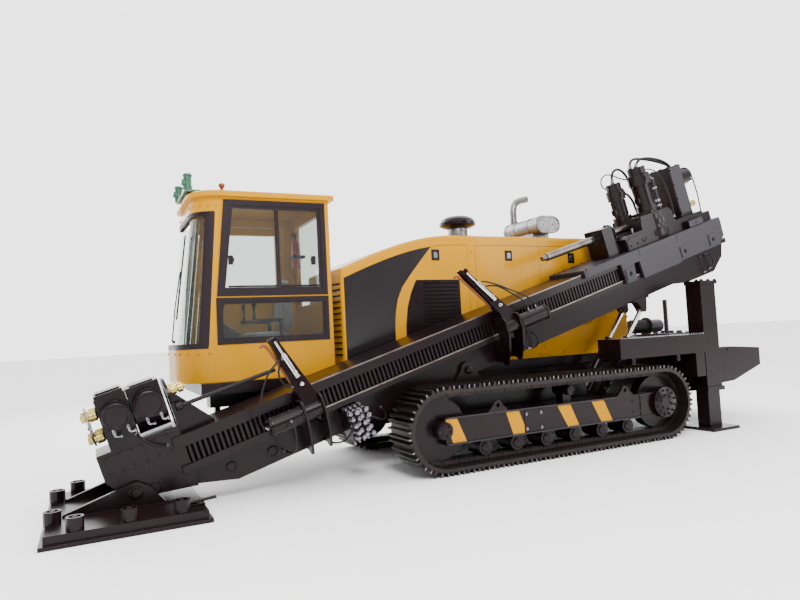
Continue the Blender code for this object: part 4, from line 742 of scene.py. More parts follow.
class DRILL_OT_camera(bpy.types.Operator):
    """Set the camera where the photograph was taken from"""
    bl_idname = "drill.camera"
    bl_label = "Camera"

    def execute(self, context):
        ahead = Vector((math.sin(CAMERA_YAW) * math.cos(CAMERA_PITCH),
                        math.cos(CAMERA_YAW) * math.cos(CAMERA_PITCH), math.sin(CAMERA_PITCH)))
        level = Vector((math.cos(CAMERA_YAW), -math.sin(CAMERA_YAW), 0.0))
        upright = level.cross(ahead)
        right = level * math.cos(CAMERA_ROLL) + upright * math.sin(CAMERA_ROLL)
        up = upright * math.cos(CAMERA_ROLL) - level * math.sin(CAMERA_ROLL)
        data = bpy.data.cameras.new("photo_camera")
        data.sensor_width = SENSOR_WIDTH
        data.lens = FOCAL_PIXELS / PICTURE_WIDTH * SENSOR_WIDTH
        camera = bpy.data.objects.new("photo_camera", data)
        turn = Matrix((right, up, -ahead)).transposed().to_4x4()
        camera.matrix_world = Matrix.Translation(CAMERA_PLACE) @ turn
        context.scene.collection.objects.link(camera)
        context.scene.camera = camera
        return {"FINISHED"}


# Kinds of hose: which diameter, how it lies, how stiff it is
HOSE_KINDS = {"pilot": ("thin_hose", "hanging", "medium"), "deck": ("thin_hose", "hanging", "limp"),
              "head": ("thin_hose", "loose", "stiff"), "drive": ("hose", "loose", "stiff")}
# Hoses: name, body, kind, points from its exit to its far end in its body's frame
HOSES = (
    ("arm_hose_1", "arm_1", "pilot",
     ((-1.868, -0.385, 0.82), (-1.93, -0.4, 0.815), (-2.05, -0.415, 0.745), (-2.145, -0.425, 0.63),
      (-2.225, -0.43, 0.48), (-2.262, -0.43, 0.37), (-2.25, -0.428, 0.32), (-2.206, -0.425, 0.3))),
    ("arm_hose_2", "arm_1", "pilot",
     ((-1.866, -0.355, 0.79), (-1.92, -0.35, 0.78), (-1.96, -0.38, 0.69), (-1.95, -0.4, 0.62),
      (-1.91, -0.395, 0.57), (-1.866, -0.39, 0.555))),
    ("drum_hose", "boom", "pilot",
     ((-2.02, -0.505, 0.3), (-2.02, -0.56, 0.285), (-2.03, -0.585, 0.2), (-2.05, -0.5, 0.06),
      (-2.07, -0.33, 0.0), (-2.08, -0.155, 0.01))),
    ("head_hose_1", "carriage_body", "head",
     ((2.975, 0.14, 1.34), (2.915, 0.14, 1.37), (2.89, 0.13, 1.47), (2.96, 0.1, 1.53),
      (3.03, 0.06, 1.5), (3.09, 0.02, 1.44), (3.16, -0.03, 1.39), (3.225, -0.055, 1.385))),
    ("head_hose_2", "carriage_body", "drive",
     ((3.33, -0.07, 1.5), (3.335, -0.07, 1.545), (3.42, -0.065, 1.585), (3.6, -0.05, 1.575),
      (3.8, -0.03, 1.52), (3.95, -0.01, 1.455), (4.045, 0.0, 1.37), (4.07, 0.0, 1.305))),
    ("head_hose_3", "carriage_body", "drive",
     ((3.2, 0.14, 1.24), (3.26, 0.19, 1.25), (3.39, 0.225, 1.19), (3.45, 0.228, 1.09),
      (3.45, 0.215, 0.98), (3.45, 0.19, 0.898))),
    ("head_hose_4", "carriage_body", "head",
     ((4.18, -0.03, 1.305), (4.19, -0.035, 1.37), (4.23, -0.05, 1.42), (4.275, -0.07, 1.37),
      (4.285, -0.09, 1.2), (4.275, -0.11, 0.96), (4.25, -0.12, 0.76), (4.23, -0.12, 0.655))),
    ("head_hose_5", "carriage_body", "drive",
     ((3.29, -0.02, 1.5), (3.285, -0.015, 1.54), (3.33, 0.01, 1.59), (3.48, 0.035, 1.612),
      (3.68, 0.055, 1.57), (3.88, 0.06, 1.5), (4.04, 0.055, 1.42), (4.12, 0.045, 1.35),
      (4.14, 0.04, 1.308))),
    ("head_hose_6", "carriage_body", "drive",
     ((3.09, 0.14, 1.39), (3.08, 0.142, 1.45), (3.12, 0.15, 1.56), (3.23, 0.165, 1.6),
      (3.35, 0.18, 1.54), (3.43, 0.19, 1.4), (3.47, 0.195, 1.2), (3.48, 0.195, 1.04),
      (3.48, 0.195, 0.9))),
    ("head_hose_7", "carriage_body", "head",
     ((3.44, -0.07, 1.44), (3.49, -0.075, 1.445), (3.58, -0.11, 1.4), (3.64, -0.15, 1.28),
      (3.66, -0.175, 1.08), (3.66, -0.18, 0.9), (3.65, -0.175, 0.74))),
    ("arm_hose_3", "arm_2", "pilot",
     ((0.318, -0.377, 0.85), (0.37, -0.41, 0.846), (0.48, -0.45, 0.775), (0.6, -0.455, 0.69),
      (0.72, -0.45, 0.61), (0.83, -0.445, 0.52), (0.89, -0.435, 0.44), (0.9, -0.425, 0.386))),
    ("arm_hose_4", "arm_2", "pilot",
     ((0.345, -0.388, 0.78), (0.4, -0.402, 0.788), (0.52, -0.415, 0.745), (0.64, -0.42, 0.64),
      (0.74, -0.425, 0.54), (0.79, -0.425, 0.45), (0.8, -0.425, 0.386))),
    ("tail_hose_1", "boom", "pilot",
     ((3.93, -0.155, 0.13), (3.94, -0.205, 0.128), (3.975, -0.235, 0.07), (3.985, -0.23, -0.02),
      (3.96, -0.2, -0.08), (3.93, -0.155, -0.095))),
    ("tail_hose_2", "boom", "pilot",
     ((4.04, -0.155, 0.13), (4.05, -0.205, 0.128), (4.085, -0.235, 0.08), (4.09, -0.23, 0.0),
      (4.065, -0.2, -0.06), (4.04, -0.155, -0.075))),
    ("web_hose", "boom", "pilot",
     ((0.9, -0.155, 0.12), (0.91, -0.205, 0.118), (0.95, -0.235, 0.06), (0.975, -0.23, -0.04),
      (0.94, -0.205, -0.1), (0.88, -0.175, -0.11), (0.85, -0.155, -0.06))),
    ("ram_hose_1", "boom", "pilot",
     ((-3.19, -0.245, 0.655), (-3.185, -0.3, 0.65), (-3.15, -0.335, 0.59), (-3.09, -0.33, 0.52),
      (-3.02, -0.29, 0.48), (-2.99, -0.24, 0.47))),
    ("deck_hose_1", "root", "deck",
     ((-3.33, 0.11, 0.74), (-3.325, 0.105, 0.7), (-3.27, 0.1, 0.64), (-3.18, 0.1, 0.62),
      (-3.09, 0.11, 0.64), (-3.03, 0.12, 0.7), (-3.025, 0.125, 0.74))),
    ("deck_hose_2", "root", "deck",
     ((-3.2, 0.16, 0.74), (-3.195, 0.16, 0.69), (-3.1, 0.155, 0.59), (-2.9, 0.15, 0.56),
      (-2.7, 0.155, 0.6), (-2.605, 0.16, 0.69), (-2.6, 0.16, 0.74))),
    ("valve_hose_1", "boom", "pilot",
     ((-1.44, -0.362, 0.08), (-1.445, -0.415, 0.078), (-1.5, -0.455, 0.0), (-1.58, -0.43, -0.07),
      (-1.66, -0.33, -0.08), (-1.7, -0.22, -0.04), (-1.71, -0.155, -0.01))),
    ("valve_hose_2", "boom", "pilot",
     ((-1.33, -0.362, 0.08), (-1.32, -0.415, 0.078), (-1.25, -0.45, 0.01), (-1.15, -0.4, -0.05),
      (-1.08, -0.29, -0.045), (-1.06, -0.2, -0.01), (-1.055, -0.155, 0.01))),
    ("lift_hose", "barrel_near", "pilot",
     ((1.13, -0.65, 0.69), (1.105, -0.695, 0.67), (1.06, -0.72, 0.6), (1.01, -0.715, 0.54),
      (0.975, -0.69, 0.56), (0.985, -0.655, 0.6))),
)
HOSE_POINTS = 34
# The tightest bend allowed, in diameters
HOSE_BEND = 4.4
EASING_ROUNDS = 3000


def eased(points, limit):
    """The same route with every bend tighter than the limit let out, the ends staying where they are."""
    path = [point.copy() for point in points]
    for _ in range(EASING_ROUNDS):
        tight = set()
        for i in range(1, len(path) - 1):
            before, after = path[i] - path[i - 1], path[i + 1] - path[i]
            turn = before.angle(after, 0.0)
            if turn > 0.001 and (before.length + after.length) / 2 / turn < limit:
                tight.update(range(max(1, i - 2), min(len(path) - 1, i + 3)))
        if not tight:
            break
        moved = {i: path[i].lerp((path[i - 1] + path[i + 1]) / 2, 0.5) for i in tight}
        for i, point in moved.items():
            path[i] = point
    return smooth_path(path, HOSE_POINTS)


class DRILL_OT_hoses(bpy.types.Operator):
    """Lay the hydraulic hoses, each with a fitting at both ends"""
    bl_idname = "drill.hoses"
    bl_label = "Hoses"

    def execute(self, context):
        for name, body, kind, knots in HOSES:
            which, lay, stiffness = HOSE_KINDS[kind]
            diameter = getattr(sizes(), which)
            route = [home(body) @ point for point in smooth_path(knots, HOSE_POINTS)]
            path = eased(route, HOSE_BEND * diameter)
            data = bpy.data.curves.new(name, "CURVE")
            data.dimensions = "3D"
            data.bevel_depth = diameter / 2
            data.bevel_resolution = 3
            data.use_fill_caps = True
            line = data.splines.new("POLY")
            line.points.add(len(path) - 1)
            for spot, point in zip(line.points, path):
                spot.co = (*point, 1.0)
            hose = own(name, data, "hose_rubber", body)
            ends = Stock(Matrix.Identity(4))
            for start, following in ((path[0], path[2]), (path[-1], path[-3])):
                ahead = (following - start).normalized()
                ends.hexagon(start - ahead * diameter * 0.2, ahead, diameter * 1.55, diameter * 0.8)
                ends.lathe(start, ahead, ((0, diameter * 0.5), (diameter * 0.1, diameter * 0.66),
                           (diameter * 1.7, diameter * 0.66), (diameter * 1.8, diameter * 0.56)), 20)
            fitting = ends.end(name + "_ends", "zinc_plate", body)
        return {"FINISHED"}


class DRILL_OT_windows(bpy.types.Operator):
    """Frame the cab's windows: side frames, sliding panes, latches, the windscreen's seal and its wiper"""
    bl_idname = "drill.windows"
    bl_label = "Window frames"

    def execute(self, context):
        def inset(outline, width):
            inwards = ((1, 1), (-1, 1), (-1, -1), (1, -1))
            return [(x + a * width, z + b * width) for (x, z), (a, b) in zip(outline, inwards)]

        frames = Stock()
        for outline, width in ((UPPER_WINDOW, sizes().frame_upper), (LOWER_WINDOW, sizes().frame_lower)):
            frames.frame(inset(outline, -0.012), inset(outline, width * 0.55), "Y", -0.009, -0.0005)
            frames.frame(inset(outline, 0.002), inset(outline, width), "Y", 0.0, 0.022)
        frames.end("window_frames", "window_rubber", "root", 1.5)
        panes = Stock()
        for x in (-2.69, -2.668):
            panes.block((x - 0.009, x + 0.009), (0.006, 0.021), (1.912, 2.704))
        panes.block((-3.19, -2.69), (0.006, 0.02), (1.912, 1.93))
        panes.block((-2.66, -2.25), (0.006, 0.02), (1.912, 1.93))
        panes.end("sliding_panes", "window_rubber", "root", 1.5)
        latches = Stock()
        for x, side in ((-3.16, 1), (-2.3, -1)):
            latches.block((x - 0.022, x + 0.022), (-0.006, 0.021), (2.14, 2.23))
            latches.bar((x + side * 0.026, -0.004, 2.165), (x + side * 0.026, -0.004, 2.205), 0.007, 12)
            latches.block((x, x + side * 0.03), (-0.008, 0.006), (2.176, 2.194))
        latches.end("window_latches", "hose_rubber", "root", 2)
        self.seal()
        self.wiper()
        return {"FINISHED"}

    def seal(self):
        """A black band round the windscreen, over both round corners of the cab."""
        band = Stock()
        width = sizes().seal

        def edge_angle(z):
            share = (z - SCREEN_Z[0]) / (SCREEN_Z[1] - SCREEN_Z[0])
            x = SCREEN_EDGE_X[0] + share * (SCREEN_EDGE_X[1] - SCREEN_EDGE_X[0])
            flat, radius = cab_corner(z)
            return 360 - math.degrees(math.acos(max(-1, min(1, (x - flat) / radius)))), radius

        def strip(rows):
            """A thin shell through rows of points on the cab's outside, kept just proud of it."""
            for flip in (Vector, mirrored):
                front = [[flip(cab_point(z, angle, 0.004)) for z, angle in row] for row in rows]
                back = [[flip(cab_point(z, angle, -0.012)) for z, angle in row] for row in rows]
                rings = []
                for one, other in zip(front, back):
                    rings.append([band.mesh.verts.new(point) for point in (*one, *reversed(other))])
                band.skin(rings, close=True)

        heights = [SCREEN_Z[0] + (SCREEN_Z[1] - SCREEN_Z[0]) * i / 8 for i in range(9)]
        sides = []
        for z in heights:
            angle, radius = edge_angle(z)
            sides.append([(z, angle + 1.0), (z, angle - math.degrees(width / radius) / 2),
                          (z, angle - math.degrees(width / radius))])
        strip(sides)
        for low, high in ((SCREEN_Z[0] - 0.012, SCREEN_Z[0] + 0.04),
                          (SCREEN_Z[1] - 0.035, SCREEN_Z[1] + 0.012)):
            rows = []
            for i in range(11):
                z = min(max((low + high) / 2, SCREEN_Z[0]), SCREEN_Z[1])
                angle = 180 + (edge_angle(z)[0] - 180) * i / 10
                rows.append([(low, angle), ((low + high) / 2, angle), (high, angle)])
            strip(rows)
            near, far = cab_point(low, 180), mirrored(cab_point(low, 180))
            top = cab_point(high, 180)
            band.block((near.x - 0.004, near.x + 0.01), (near.y, far.y), (low, high))
            band.block((top.x - 0.004, top.x + 0.01), (near.y, far.y), ((low + high) / 2, high))
        band.end("windscreen_seal", "window_rubber", "root")

    def wiper(self):
        wiper = Stock()
        foot, tip = cab_point(1.4, 181, 0.03), cab_point(2.1, 184, 0.026)
        wiper.lathe(foot + Vector((0.03, 0.02, 0)), FORWARDS, ((0, 0.014), (0.02, 0.014), (0.024, 0.01)), 16)
        wiper.tube([foot, foot.lerp(tip, 0.5) + Vector((-0.012, -0.006, 0)), tip], 0.006, 8)
        low, high = cab_point(1.62, 186, 0.016), cab_point(2.46, 186, 0.016)
        wiper.tube([low.lerp(high, i / 6) for i in range(7)], 0.008, 6)
        wiper.end("wiper", "hose_rubber", "root")


class DRILL_OT_cab_inside(bpy.types.Operator):
    """Fit out the cab: seat, armrests with levers, display, door lining and extinguisher"""
    bl_idname = "drill.cab_inside"
    bl_label = "Cab inside"

    def execute(self, context):
        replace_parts(self.cushion("seat_cushion", (-2.95, 0.35, 1.334), (0.5, 0.48, 0.13), 2), "seat")
        self.cushion("seat_back", (-2.552, 0.35, 1.462), (0.122, 0.48, 0.43), 0)
        self.cushion("seat_headrest", (-2.53, 0.46, 1.905), (0.095, 0.26, 0.125), 0)
        base = Stock()
        base.block((-2.86, -2.5), (0.43, 0.75), (1.0345, 1.075))
        for i in range(5):
            grow_by = 0.012 * (i % 2)
            base.block((-2.84 - grow_by, -2.52 + grow_by), (0.45 - grow_by, 0.73 + grow_by),
                       (1.075 + i * 0.046, 1.121 + i * 0.046))
        base.block((-2.9, -2.47), (0.39, 0.79), (1.303, 1.33))
        for y in (0.315, 0.835):
            base.block((-2.9, -2.56), (y, y + 0.03), (1.56, 1.6))
            base.block((-2.6, -2.565), (y, y + 0.03), (1.33, 1.565))
            # Lever with its knob
            base.lathe((-2.87, y + 0.015, 1.6), UP, (
                (0, 0.018), (0.05, 0.01), (0.11, 0.012), (0.15, 0.022), (0.185, 0.016), (0.19, 0.004)), 16)
        base.end("seat_base", "hose_rubber", "root", 3)
        screen = Stock()
        screen.plate(((-3.215, 1.6), (-3.195, 1.6), (-3.135, 1.86), (-3.155, 1.86)), "Y", 0.44, 0.74)
        screen.bar((-3.17, 0.59, 1.5), (-3.175, 0.59, 1.68), 0.014, 16)
        screen.end("display", "hose_rubber", "root", 3)
        trim = Stock()
        trim.plate(((-3.09, 1.13), (-2.36, 1.13), (-2.36, 1.82), (-3.09, 1.82)), "Y", 1.126, 1.1447)
        trim.block((-3.02, -2.92), (1.117, 1.127), (1.4, 1.44))
        trim.end("door_lining", "yellow_enamel", "cab_door_body", 3)
        bottle = Stock()
        x, y = -2.262, 0.745
        bottle.lathe((x, y, 2.17), UP, ((0, 0.04), (0.008, 0.052), (0.3, 0.052), (0.335, 0.04),
                     (0.352, 0.02)), 28)
        bottle.end("extinguisher", "red_enamel", "root")
        valve = Stock()
        valve.lathe((x, y, 2.522), UP, ((0, 0.016), (0.03, 0.016), (0.034, 0.012), (0.06, 0.012)), 16)
        for lever_z in ((2.56, 2.57), (2.585, 2.593)):
            valve.block((x - 0.05, x + 0.02), (y - 0.01, y + 0.01), lever_z)
        valve.frame(((-2.32, 0.688), (-2.168, 0.688), (-2.168, 0.802), (-2.32, 0.802)),
                    ((-2.315, 0.692), (-2.168, 0.692), (-2.168, 0.798), (-2.315, 0.798)), "Z", 2.3, 2.33)
        valve.end("extinguisher_valve", "hose_rubber", "root", 1)
        return {"FINISHED"}

    def cushion(self, name, low, size, crown_axis):
        """A foam pad with a crowned face, sides that pull in between the corners, and two sewn seams."""
        mesh = bmesh.new()
        bmesh.ops.create_cube(mesh, size=2.0)
        bmesh.ops.subdivide_edges(mesh, edges=mesh.edges, cuts=13, use_grid_fill=True)
        for vert in mesh.verts:
            place = vert.co.copy()
            for axis in range(3):
                one, other = [place[i] for i in range(3) if i != axis]
                full = (1 - abs(one) ** 3) * (1 - abs(other) ** 3)
                limit = 1.0 if axis == crown_axis else 0.97
                vert.co[axis] = place[axis] * (0.8 + (limit - 0.8) * full ** 0.6)
            crown = place[crown_axis] * (1 if crown_axis == 2 else -1) > 0.9
            if crown and abs(abs(place[(crown_axis + 1) % 3]) - 0.5) < 0.08:
                vert.co[crown_axis] *= 0.9
        scale = Matrix.Diagonal((size[0] / 2, size[1] / 2, size[2] / 2, 1.0))
        middle = Vector(low) + Vector(size) / 2
        bmesh.ops.transform(mesh, matrix=MACHINE @ Matrix.Translation(middle) @ scale, verts=mesh.verts)
        bmesh.ops.recalc_face_normals(mesh, faces=mesh.faces)
        data = bpy.data.meshes.new(name)
        mesh.to_mesh(data)
        mesh.free()
        pad = own(name, data, "seat_vinyl", "root")
        soft = pad.modifiers.new("soft", "SUBSURF")
        soft.levels = soft.render_levels = 1
        return pad


class DRILL_OT_cab_outside(bpy.types.Operator):
    """Dress the cab: lamp heads and brackets, roof knob, grab rail and door handle"""
    bl_idname = "drill.cab_outside"
    bl_label = "Cab outside"

    def execute(self, context):
        caps, posts = Stock(), Stock()
        for x, y in ((-3.52, 0.19), (-3.535, 0.76)):
            caps.lathe((x, y, 3.048), UP, ((0, 0.041), (0.006, 0.047), (0.018, 0.047), (0.03, 0.036),
                       (0.036, 0.018)), 24)
            caps.lathe((x - 0.01, y, 2.985), (-1, 0, 0.12), ((0, 0.03), (0.045, 0.034), (0.052, 0.03)), 24)
            posts.block((x - 0.045, x + 0.045), (y - 0.004, y + 0.004), (2.9135, 2.96))
            posts.hexagon((x, y + 0.004, 2.945), FARWARDS, 0.016, 0.01)
        caps.end("lamp_heads", "lamp_lens", "root")
        posts.end("lamp_posts", "zinc_plate", "root", 1)
        knob = Stock()
        knob.lathe((-3.206, 0.085, 2.8915), UP, ((0, 0.03), (0.012, 0.03), (0.016, 0.016), (0.035, 0.018),
                   (0.045, 0.03), (0.068, 0.032), (0.08, 0.022), (0.084, 0.008)), 24)
        knob.end("roof_knob", "orange_enamel", "root")
        rail = Stock()
        rail.tube(smooth_path(((-3.245, 1.2, 1.5), (-3.245, 1.245, 1.52), (-3.235, 1.247, 1.75),
                               (-3.22, 1.247, 2.05), (-3.212, 1.245, 2.23), (-3.212, 1.2, 2.25)), 24),
                  0.011, 12)
        rail.end("grab_rail", "window_rubber", "root")
        handle = Stock()
        handle.block((-3.13, -3.06), (1.2, 1.212), (1.72, 1.86))
        handle.tube(smooth_path(((-3.095, 1.21, 1.74), (-3.095, 1.245, 1.755), (-3.095, 1.247, 1.79),
                                 (-3.095, 1.245, 1.825), (-3.095, 1.21, 1.84)), 14), 0.008, 10)
        handle.end("cab_door_handle", "hose_rubber", "cab_door_body", 2)
        return {"FINISHED"}


class DRILL_OT_hood_fittings(bpy.types.Operator):
    """Fit latches, louvres, pressed vents, grille bars and door handles to the hood"""
    bl_idname = "drill.hood_fittings"
    bl_label = "Hood fittings"

    def execute(self, context):
        latches, plates = Stock(), Stock()
        for x, z in ((-0.882, 2.239), (0.132, 2.237), (1.104, 2.213)):
            plates.frame(self.oblong(x, z, 0.05, 0.062), self.oblong(x, z, 0.034, 0.046), "Y",
                         -0.108, -0.099)
            plates.block((x - 0.036, x + 0.036), (-0.102, -0.099), (z - 0.048, z + 0.048))
            latches.plate([(x + across, z + up) for across, up in (
                (-0.026, -0.036), (0.026, -0.036), (0.026, 0.02), (0.014, 0.034), (-0.014, 0.034),
                (-0.026, 0.02))], "Y", -0.109, -0.1025)
            latches.lathe((x, -0.109, z + 0.012), NEARWARDS, ((0, 0.01), (0.004, 0.01), (0.005, 0.007)), 16)
        plates.end("latch_plates", "hose_rubber", "root", 1.5)
        latches.end("latch_paddles", "zinc_plate", "root", 1.5)
        self.vents("pressed_vents", "root", (HOOD_NEAR_Y, -1), "X", ((0.712, 0.862), (1.234, 1.384)),
                   (1.36, 4, 0.055))
        slat = Stock()
        slat.plate(((-0.0855, 0.004), (-0.0955, -0.0045), (-0.0965, -0.003), (-0.0855, 0.007)), "X",
                   -1.06, -0.605)
        self.repeat("grille_bars", slat, 1.281, 15, (1.925 - 1.27 - 0.022) / 14)
        blade = Stock()
        blade.plate(((-2.046, -0.008), (-2.044, -0.01), (-2.012, 0.009), (-2.014, 0.011)), "Y", -0.055, 0.42)
        self.repeat("front_louvres", blade, 1.171, 13, (1.94 - 1.16 - 0.022) / 12)
        for number, x in enumerate(DOOR_PULLS_X, 1):
            body = f"hood_door_{number}_body"
            pull = Stock()
            pull.block((x - 0.035, x + 0.035), (1.0195, 1.028), (1.5, 1.64))
            pull.tube(smooth_path([(x, y, z) for y, z in ((1.026, 1.52), (1.056, 1.535), (1.058, 1.57),
                                                          (1.056, 1.605), (1.026, 1.62))], 14), 0.007, 10)
            pull.end(f"hood_door_{number}_pull", "hose_rubber", body, 2)
            self.vents(f"hood_door_{number}_vents", body, (HOOD_FAR_Y, 1), "X", ((x + 0.42, x + 0.84),),
                       (1.3, 9, 0.055))
        self.vents("rear_vents", "root", (HOOD_REAR_X, 1), "Y", ((0.16, 0.4), (0.62, 0.86)),
                   (1.24, 12, 0.062), 0.042)
        return {"FINISHED"}

    def oblong(self, x, z, half_width, half_height):
        return [(x + a * half_width, z + b * half_height) for a, b in ((-1, -1), (1, -1), (1, 1), (-1, 1))]

    def vents(self, name, body, face, axis, spans, row, tall=0.04):
        """Vents pressed out of a sheet, given its place and which way is out, in rows upwards."""
        level, out = face
        low, count, pitch = row
        made = Stock()
        for start, end in spans:
            for i in range(count):
                z = low + i * pitch
                made.plate([(level + out * reach, z + rise) for reach, rise in (
                    (0.001, 0.0), (0.016, 0.01), (0.017, 0.018), (0.001, tall))], axis, start, end)
        made.end(name, "yellow_enamel", body, 2)

    def repeat(self, name, item, low, count, step):
        """A row upwards of one part from a height on, made with Geometry Nodes."""
        data = item.data(name + "_one")
        data.transform(Matrix.Translation((0.0, 0.0, low)))
        grow(name, data, bpy.data.node_groups.get("row") or row_tree(),
             {"Count": count, "Step": (0.0, 0.0, step)}, "hose_rubber", "root")


class DRILL_OT_intake_exhaust(bpy.types.Operator):
    """Dress the silencer and the pre-cleaner: straps, end pressings, clamps, and a black disc of painted
    shade in the pipe's mouth
    """
    bl_idname = "drill.intake_exhaust"
    bl_label = "Intake and exhaust"

    def execute(self, context):
        def stadium(grow_by):
            """The silencer's long round outline, grown by a little."""
            turns = [math.pi * i / 12 for i in range(13)]
            radius = SILENCER_R + grow_by
            return [(end + sign * radius * math.sin(a), SILENCER_Z - sign * radius * math.cos(a))
                    for end, sign in ((SILENCER_X[1], 1), (SILENCER_X[0], -1)) for a in turns]

        can = Stock()
        can.frame(stadium(0.001), stadium(-0.016), "Y", 0.084, 0.0935)
        can.plate(stadium(-0.03), "Y", 0.09, 0.0935)
        for x in (0.86, 1.01):
            can.hexagon((x, 0.0905, SILENCER_Z), NEARWARDS, 0.022, 0.01)
        for y in (0.3, 0.6):
            can.frame(stadium(0.005), stadium(0.0003), "Y", y - 0.018, y + 0.018)
        can.lathe((*CLEANER, 2.526), UP,
                  ((0, 0.1192), (0.002, 0.12), (0.102, 0.12), (0.104, 0.1192)), 40)
        can.end("silencer_straps", "aluminised_steel", "root", 1)
        clamps = Stock()
        clamps.lathe((0.86, 0.72, 2.8), UP,
                     ((0, 0.0475), (0.002, 0.051), (0.02, 0.051), (0.022, 0.0475)), 28)
        clamps.bar((0.9, 0.7, 2.811), (0.9, 0.745, 2.811), 0.006, 12)
        clamps.lathe((*CLEANER, 2.4756), UP, ((0, 0.15), (0.006, 0.15), (0.008, 0.122), (0.05, 0.1195),
                     (0.052, 0.1195)), 32)
        clamps.lathe((*CLEANER, 2.575), UP,
                     ((0, 0.1185), (0.002, 0.1215), (0.022, 0.1215), (0.024, 0.1185)), 32)
        clamps.bar((-0.175, 0.3, 2.586), (-0.175, 0.4, 2.586), 0.007, 12)
        clamps.hexagon((*CLEANER, 2.7825), UP, 0.02, 0.014)
        clamps.end("pipe_clamps", "zinc_plate", "root")
        top = Stock()
        top.lathe((*CLEANER, 2.7815), UP, ((0, 0.066), (0.003, 0.066), (0.005, 0.052)), 28)
        top.end("cleaner_cap", "hose_rubber", "root")
        # A thin black disc on the pipe's end: painted shade standing in for the dark inside of its open mouth
        mouth = Stock()
        mouth.lathe((1.1005, 0.72, 3.1502), (0.973, 0, 0.232), ((0, 0.036), (0.001, 0.035)), 24)
        mouth.end("pipe_mouth", "hose_rubber", "root")
        return {"FINISHED"}


def loop_spot(distance, radius):
    """A point beside the track's middle line and the angle it is turned by, from a distance along it."""
    front, rear = AXLES
    straight = rear - front
    pitch_r = (SHOE_COUNT * SHOE_PITCH - 2 * straight) / (2 * math.pi)
    turn = math.pi * pitch_r
    distance %= 2 * (straight + turn)
    if distance < straight:
        return front + distance, AXLE_Z - radius, 0.0
    distance -= straight
    if distance < turn:
        angle = distance / pitch_r
        return rear + radius * math.sin(angle), AXLE_Z - radius * math.cos(angle), -angle
    distance -= turn
    if distance < straight:
        return rear - distance, AXLE_Z + radius, -math.pi
    angle = (distance - straight) / pitch_r
    return front - radius * math.sin(angle), AXLE_Z + radius * math.cos(angle), -math.pi - angle


class DRILL_OT_tracks(bpy.types.Operator):
    """Dress the tracks: chain links, worn grouser ends, hub covers, roller caps and stripes"""
    bl_idname = "drill.tracks"
    bl_label = "Tracks"

    def execute(self, context):
        tree = link_tree()
        for side, word in ((-1, "near"), (1, "far")):
            grow(f"chain_links_{word}", self.dots(side, (0.5,), LINK_R, 0.0885, 0.0), tree,
                 {"Length": 0.125, "Height": 0.036, "Thickness": 0.014, "Boss radius": 0.023},
                 "rolled_steel", "root")
            edges = self.dots(side, (0.54, 0.885), GROUSER_R, SHOE_W / 2 + 0.0008, math.pi / 2)
            grow(f"worn_grousers_{word}", edges, tree,
                 {"Length": 0.016, "Height": 0.009, "Thickness": 0.0016, "Boss radius": 0.0052},
                 "zinc_plate", "root")
            self.frame_parts(word, side)
        return {"FINISHED"}

    def dots(self, side, shares, radius, reach, turned):
        """Points on both sides of the track's middle, at shares of every shoe's length."""
        spots, turns = [], []
        for shoe in range(SHOE_COUNT):
            for share in shares:
                x, z, angle = loop_spot((shoe + share) * SHOE_PITCH, radius)
                for edge in (-1, 1):
                    spots.append((x + SHIFT_X, side * TRACK_Y + edge * reach, z))
                    turns.append(angle + turned)
        return dotted(spots, turn=turns)

    def frame_parts(self, word, side):
        face = side * BEAM_FACE_Y
        stripes = Stock()
        for outline in (((-1.447, 0.527), (-1.29, 0.527), (-1.19, 0.296), (-1.345, 0.296)),
                        ((-0.715, 0.527), (-0.56, 0.527), (-0.5, 0.375), (-0.5, 0.296), (-0.64, 0.296)),
                        ((-0.062, 0.527), (0.11, 0.527), (0.215, 0.296), (0.065, 0.296)),
                        ((0.408, 0.527), (0.578, 0.527), (0.69, 0.296), (0.53, 0.296))):
            stripes.plate([(max(x, -1.419), z) for x, z in outline], "Y", face + side * 0.0003,
                          face + side * 0.0013)
        stripes.end(f"stripes_{word}", "hazard_yellow", "root")
        cover = Stock()
        cover.plate(((-0.492, 0.3), (-0.262, 0.3), (-0.262, 0.523), (-0.492, 0.523)), "Y", face,
                    face + side * 0.005)
        for places, z, reach, sides, profile in (
                # Hub of the sprocket, rollers, carrier roller, idler
                (AXLES[1:], AXLE_Z, 0.201, 40, ((0, 0.172), (0.006, 0.172), (0.012, 0.16), (0.015, 0.118),
                                                (0.019, 0.112), (0.019, 0.052), (0.012, 0.046))),
                (ROLLERS_X, 0.2033, 0.12, 24, ((0, 0.052), (0.008, 0.052), (0.012, 0.04), (0.012, 0.022),
                                               (0.009, 0.018))),
                ((0.16,), 0.6677, 0.12, 28, ((0, 0.05), (0.01, 0.05), (0.014, 0.042), (0.01, 0.036),
                                             (0.01, 0.026), (0.014, 0.022), (0.014, 0.01),
                                             (0.01, 0.006))),
                (AXLES[:1], AXLE_Z, 0.17, 32, ((0, 0.084), (0.007, 0.084), (0.012, 0.072), (0.012, 0.04),
                                               (0.018, 0.034), (0.018, 0.014)))):
            for x in places:
                cover.lathe((x, side * (TRACK_Y + reach), z), (0, side, 0), profile, sides)
        # Guard plate in front of the sprocket, with its two bars
        cover.block((1.118, 1.132), (side * 0.905, side * 1.066), (0.285, 0.535))
        for z in (0.345, 0.465):
            cover.block((0.995, 1.12), (side * 1.045, side * 1.066), (z, z + 0.02))
        cover.end(f"undercarriage_covers_{word}", "black_enamel", "root", 1.5)
        # Thin grey strips along the frame's top and bottom edges: painted highlights where the glossy black
        # edges reflect the sky
        edge_highlights = Stock()
        for z, reach in (((0.5305, 0.5425), (-1.4, 0.76)), ((0.2805, 0.2925), (-1.4, 1.1))):
            edge_highlights.block(reach, (side * 1.0702, side * 1.0712), z)
        edge_highlights.end(f"frame_edges_{word}", "grey_enamel", "root")


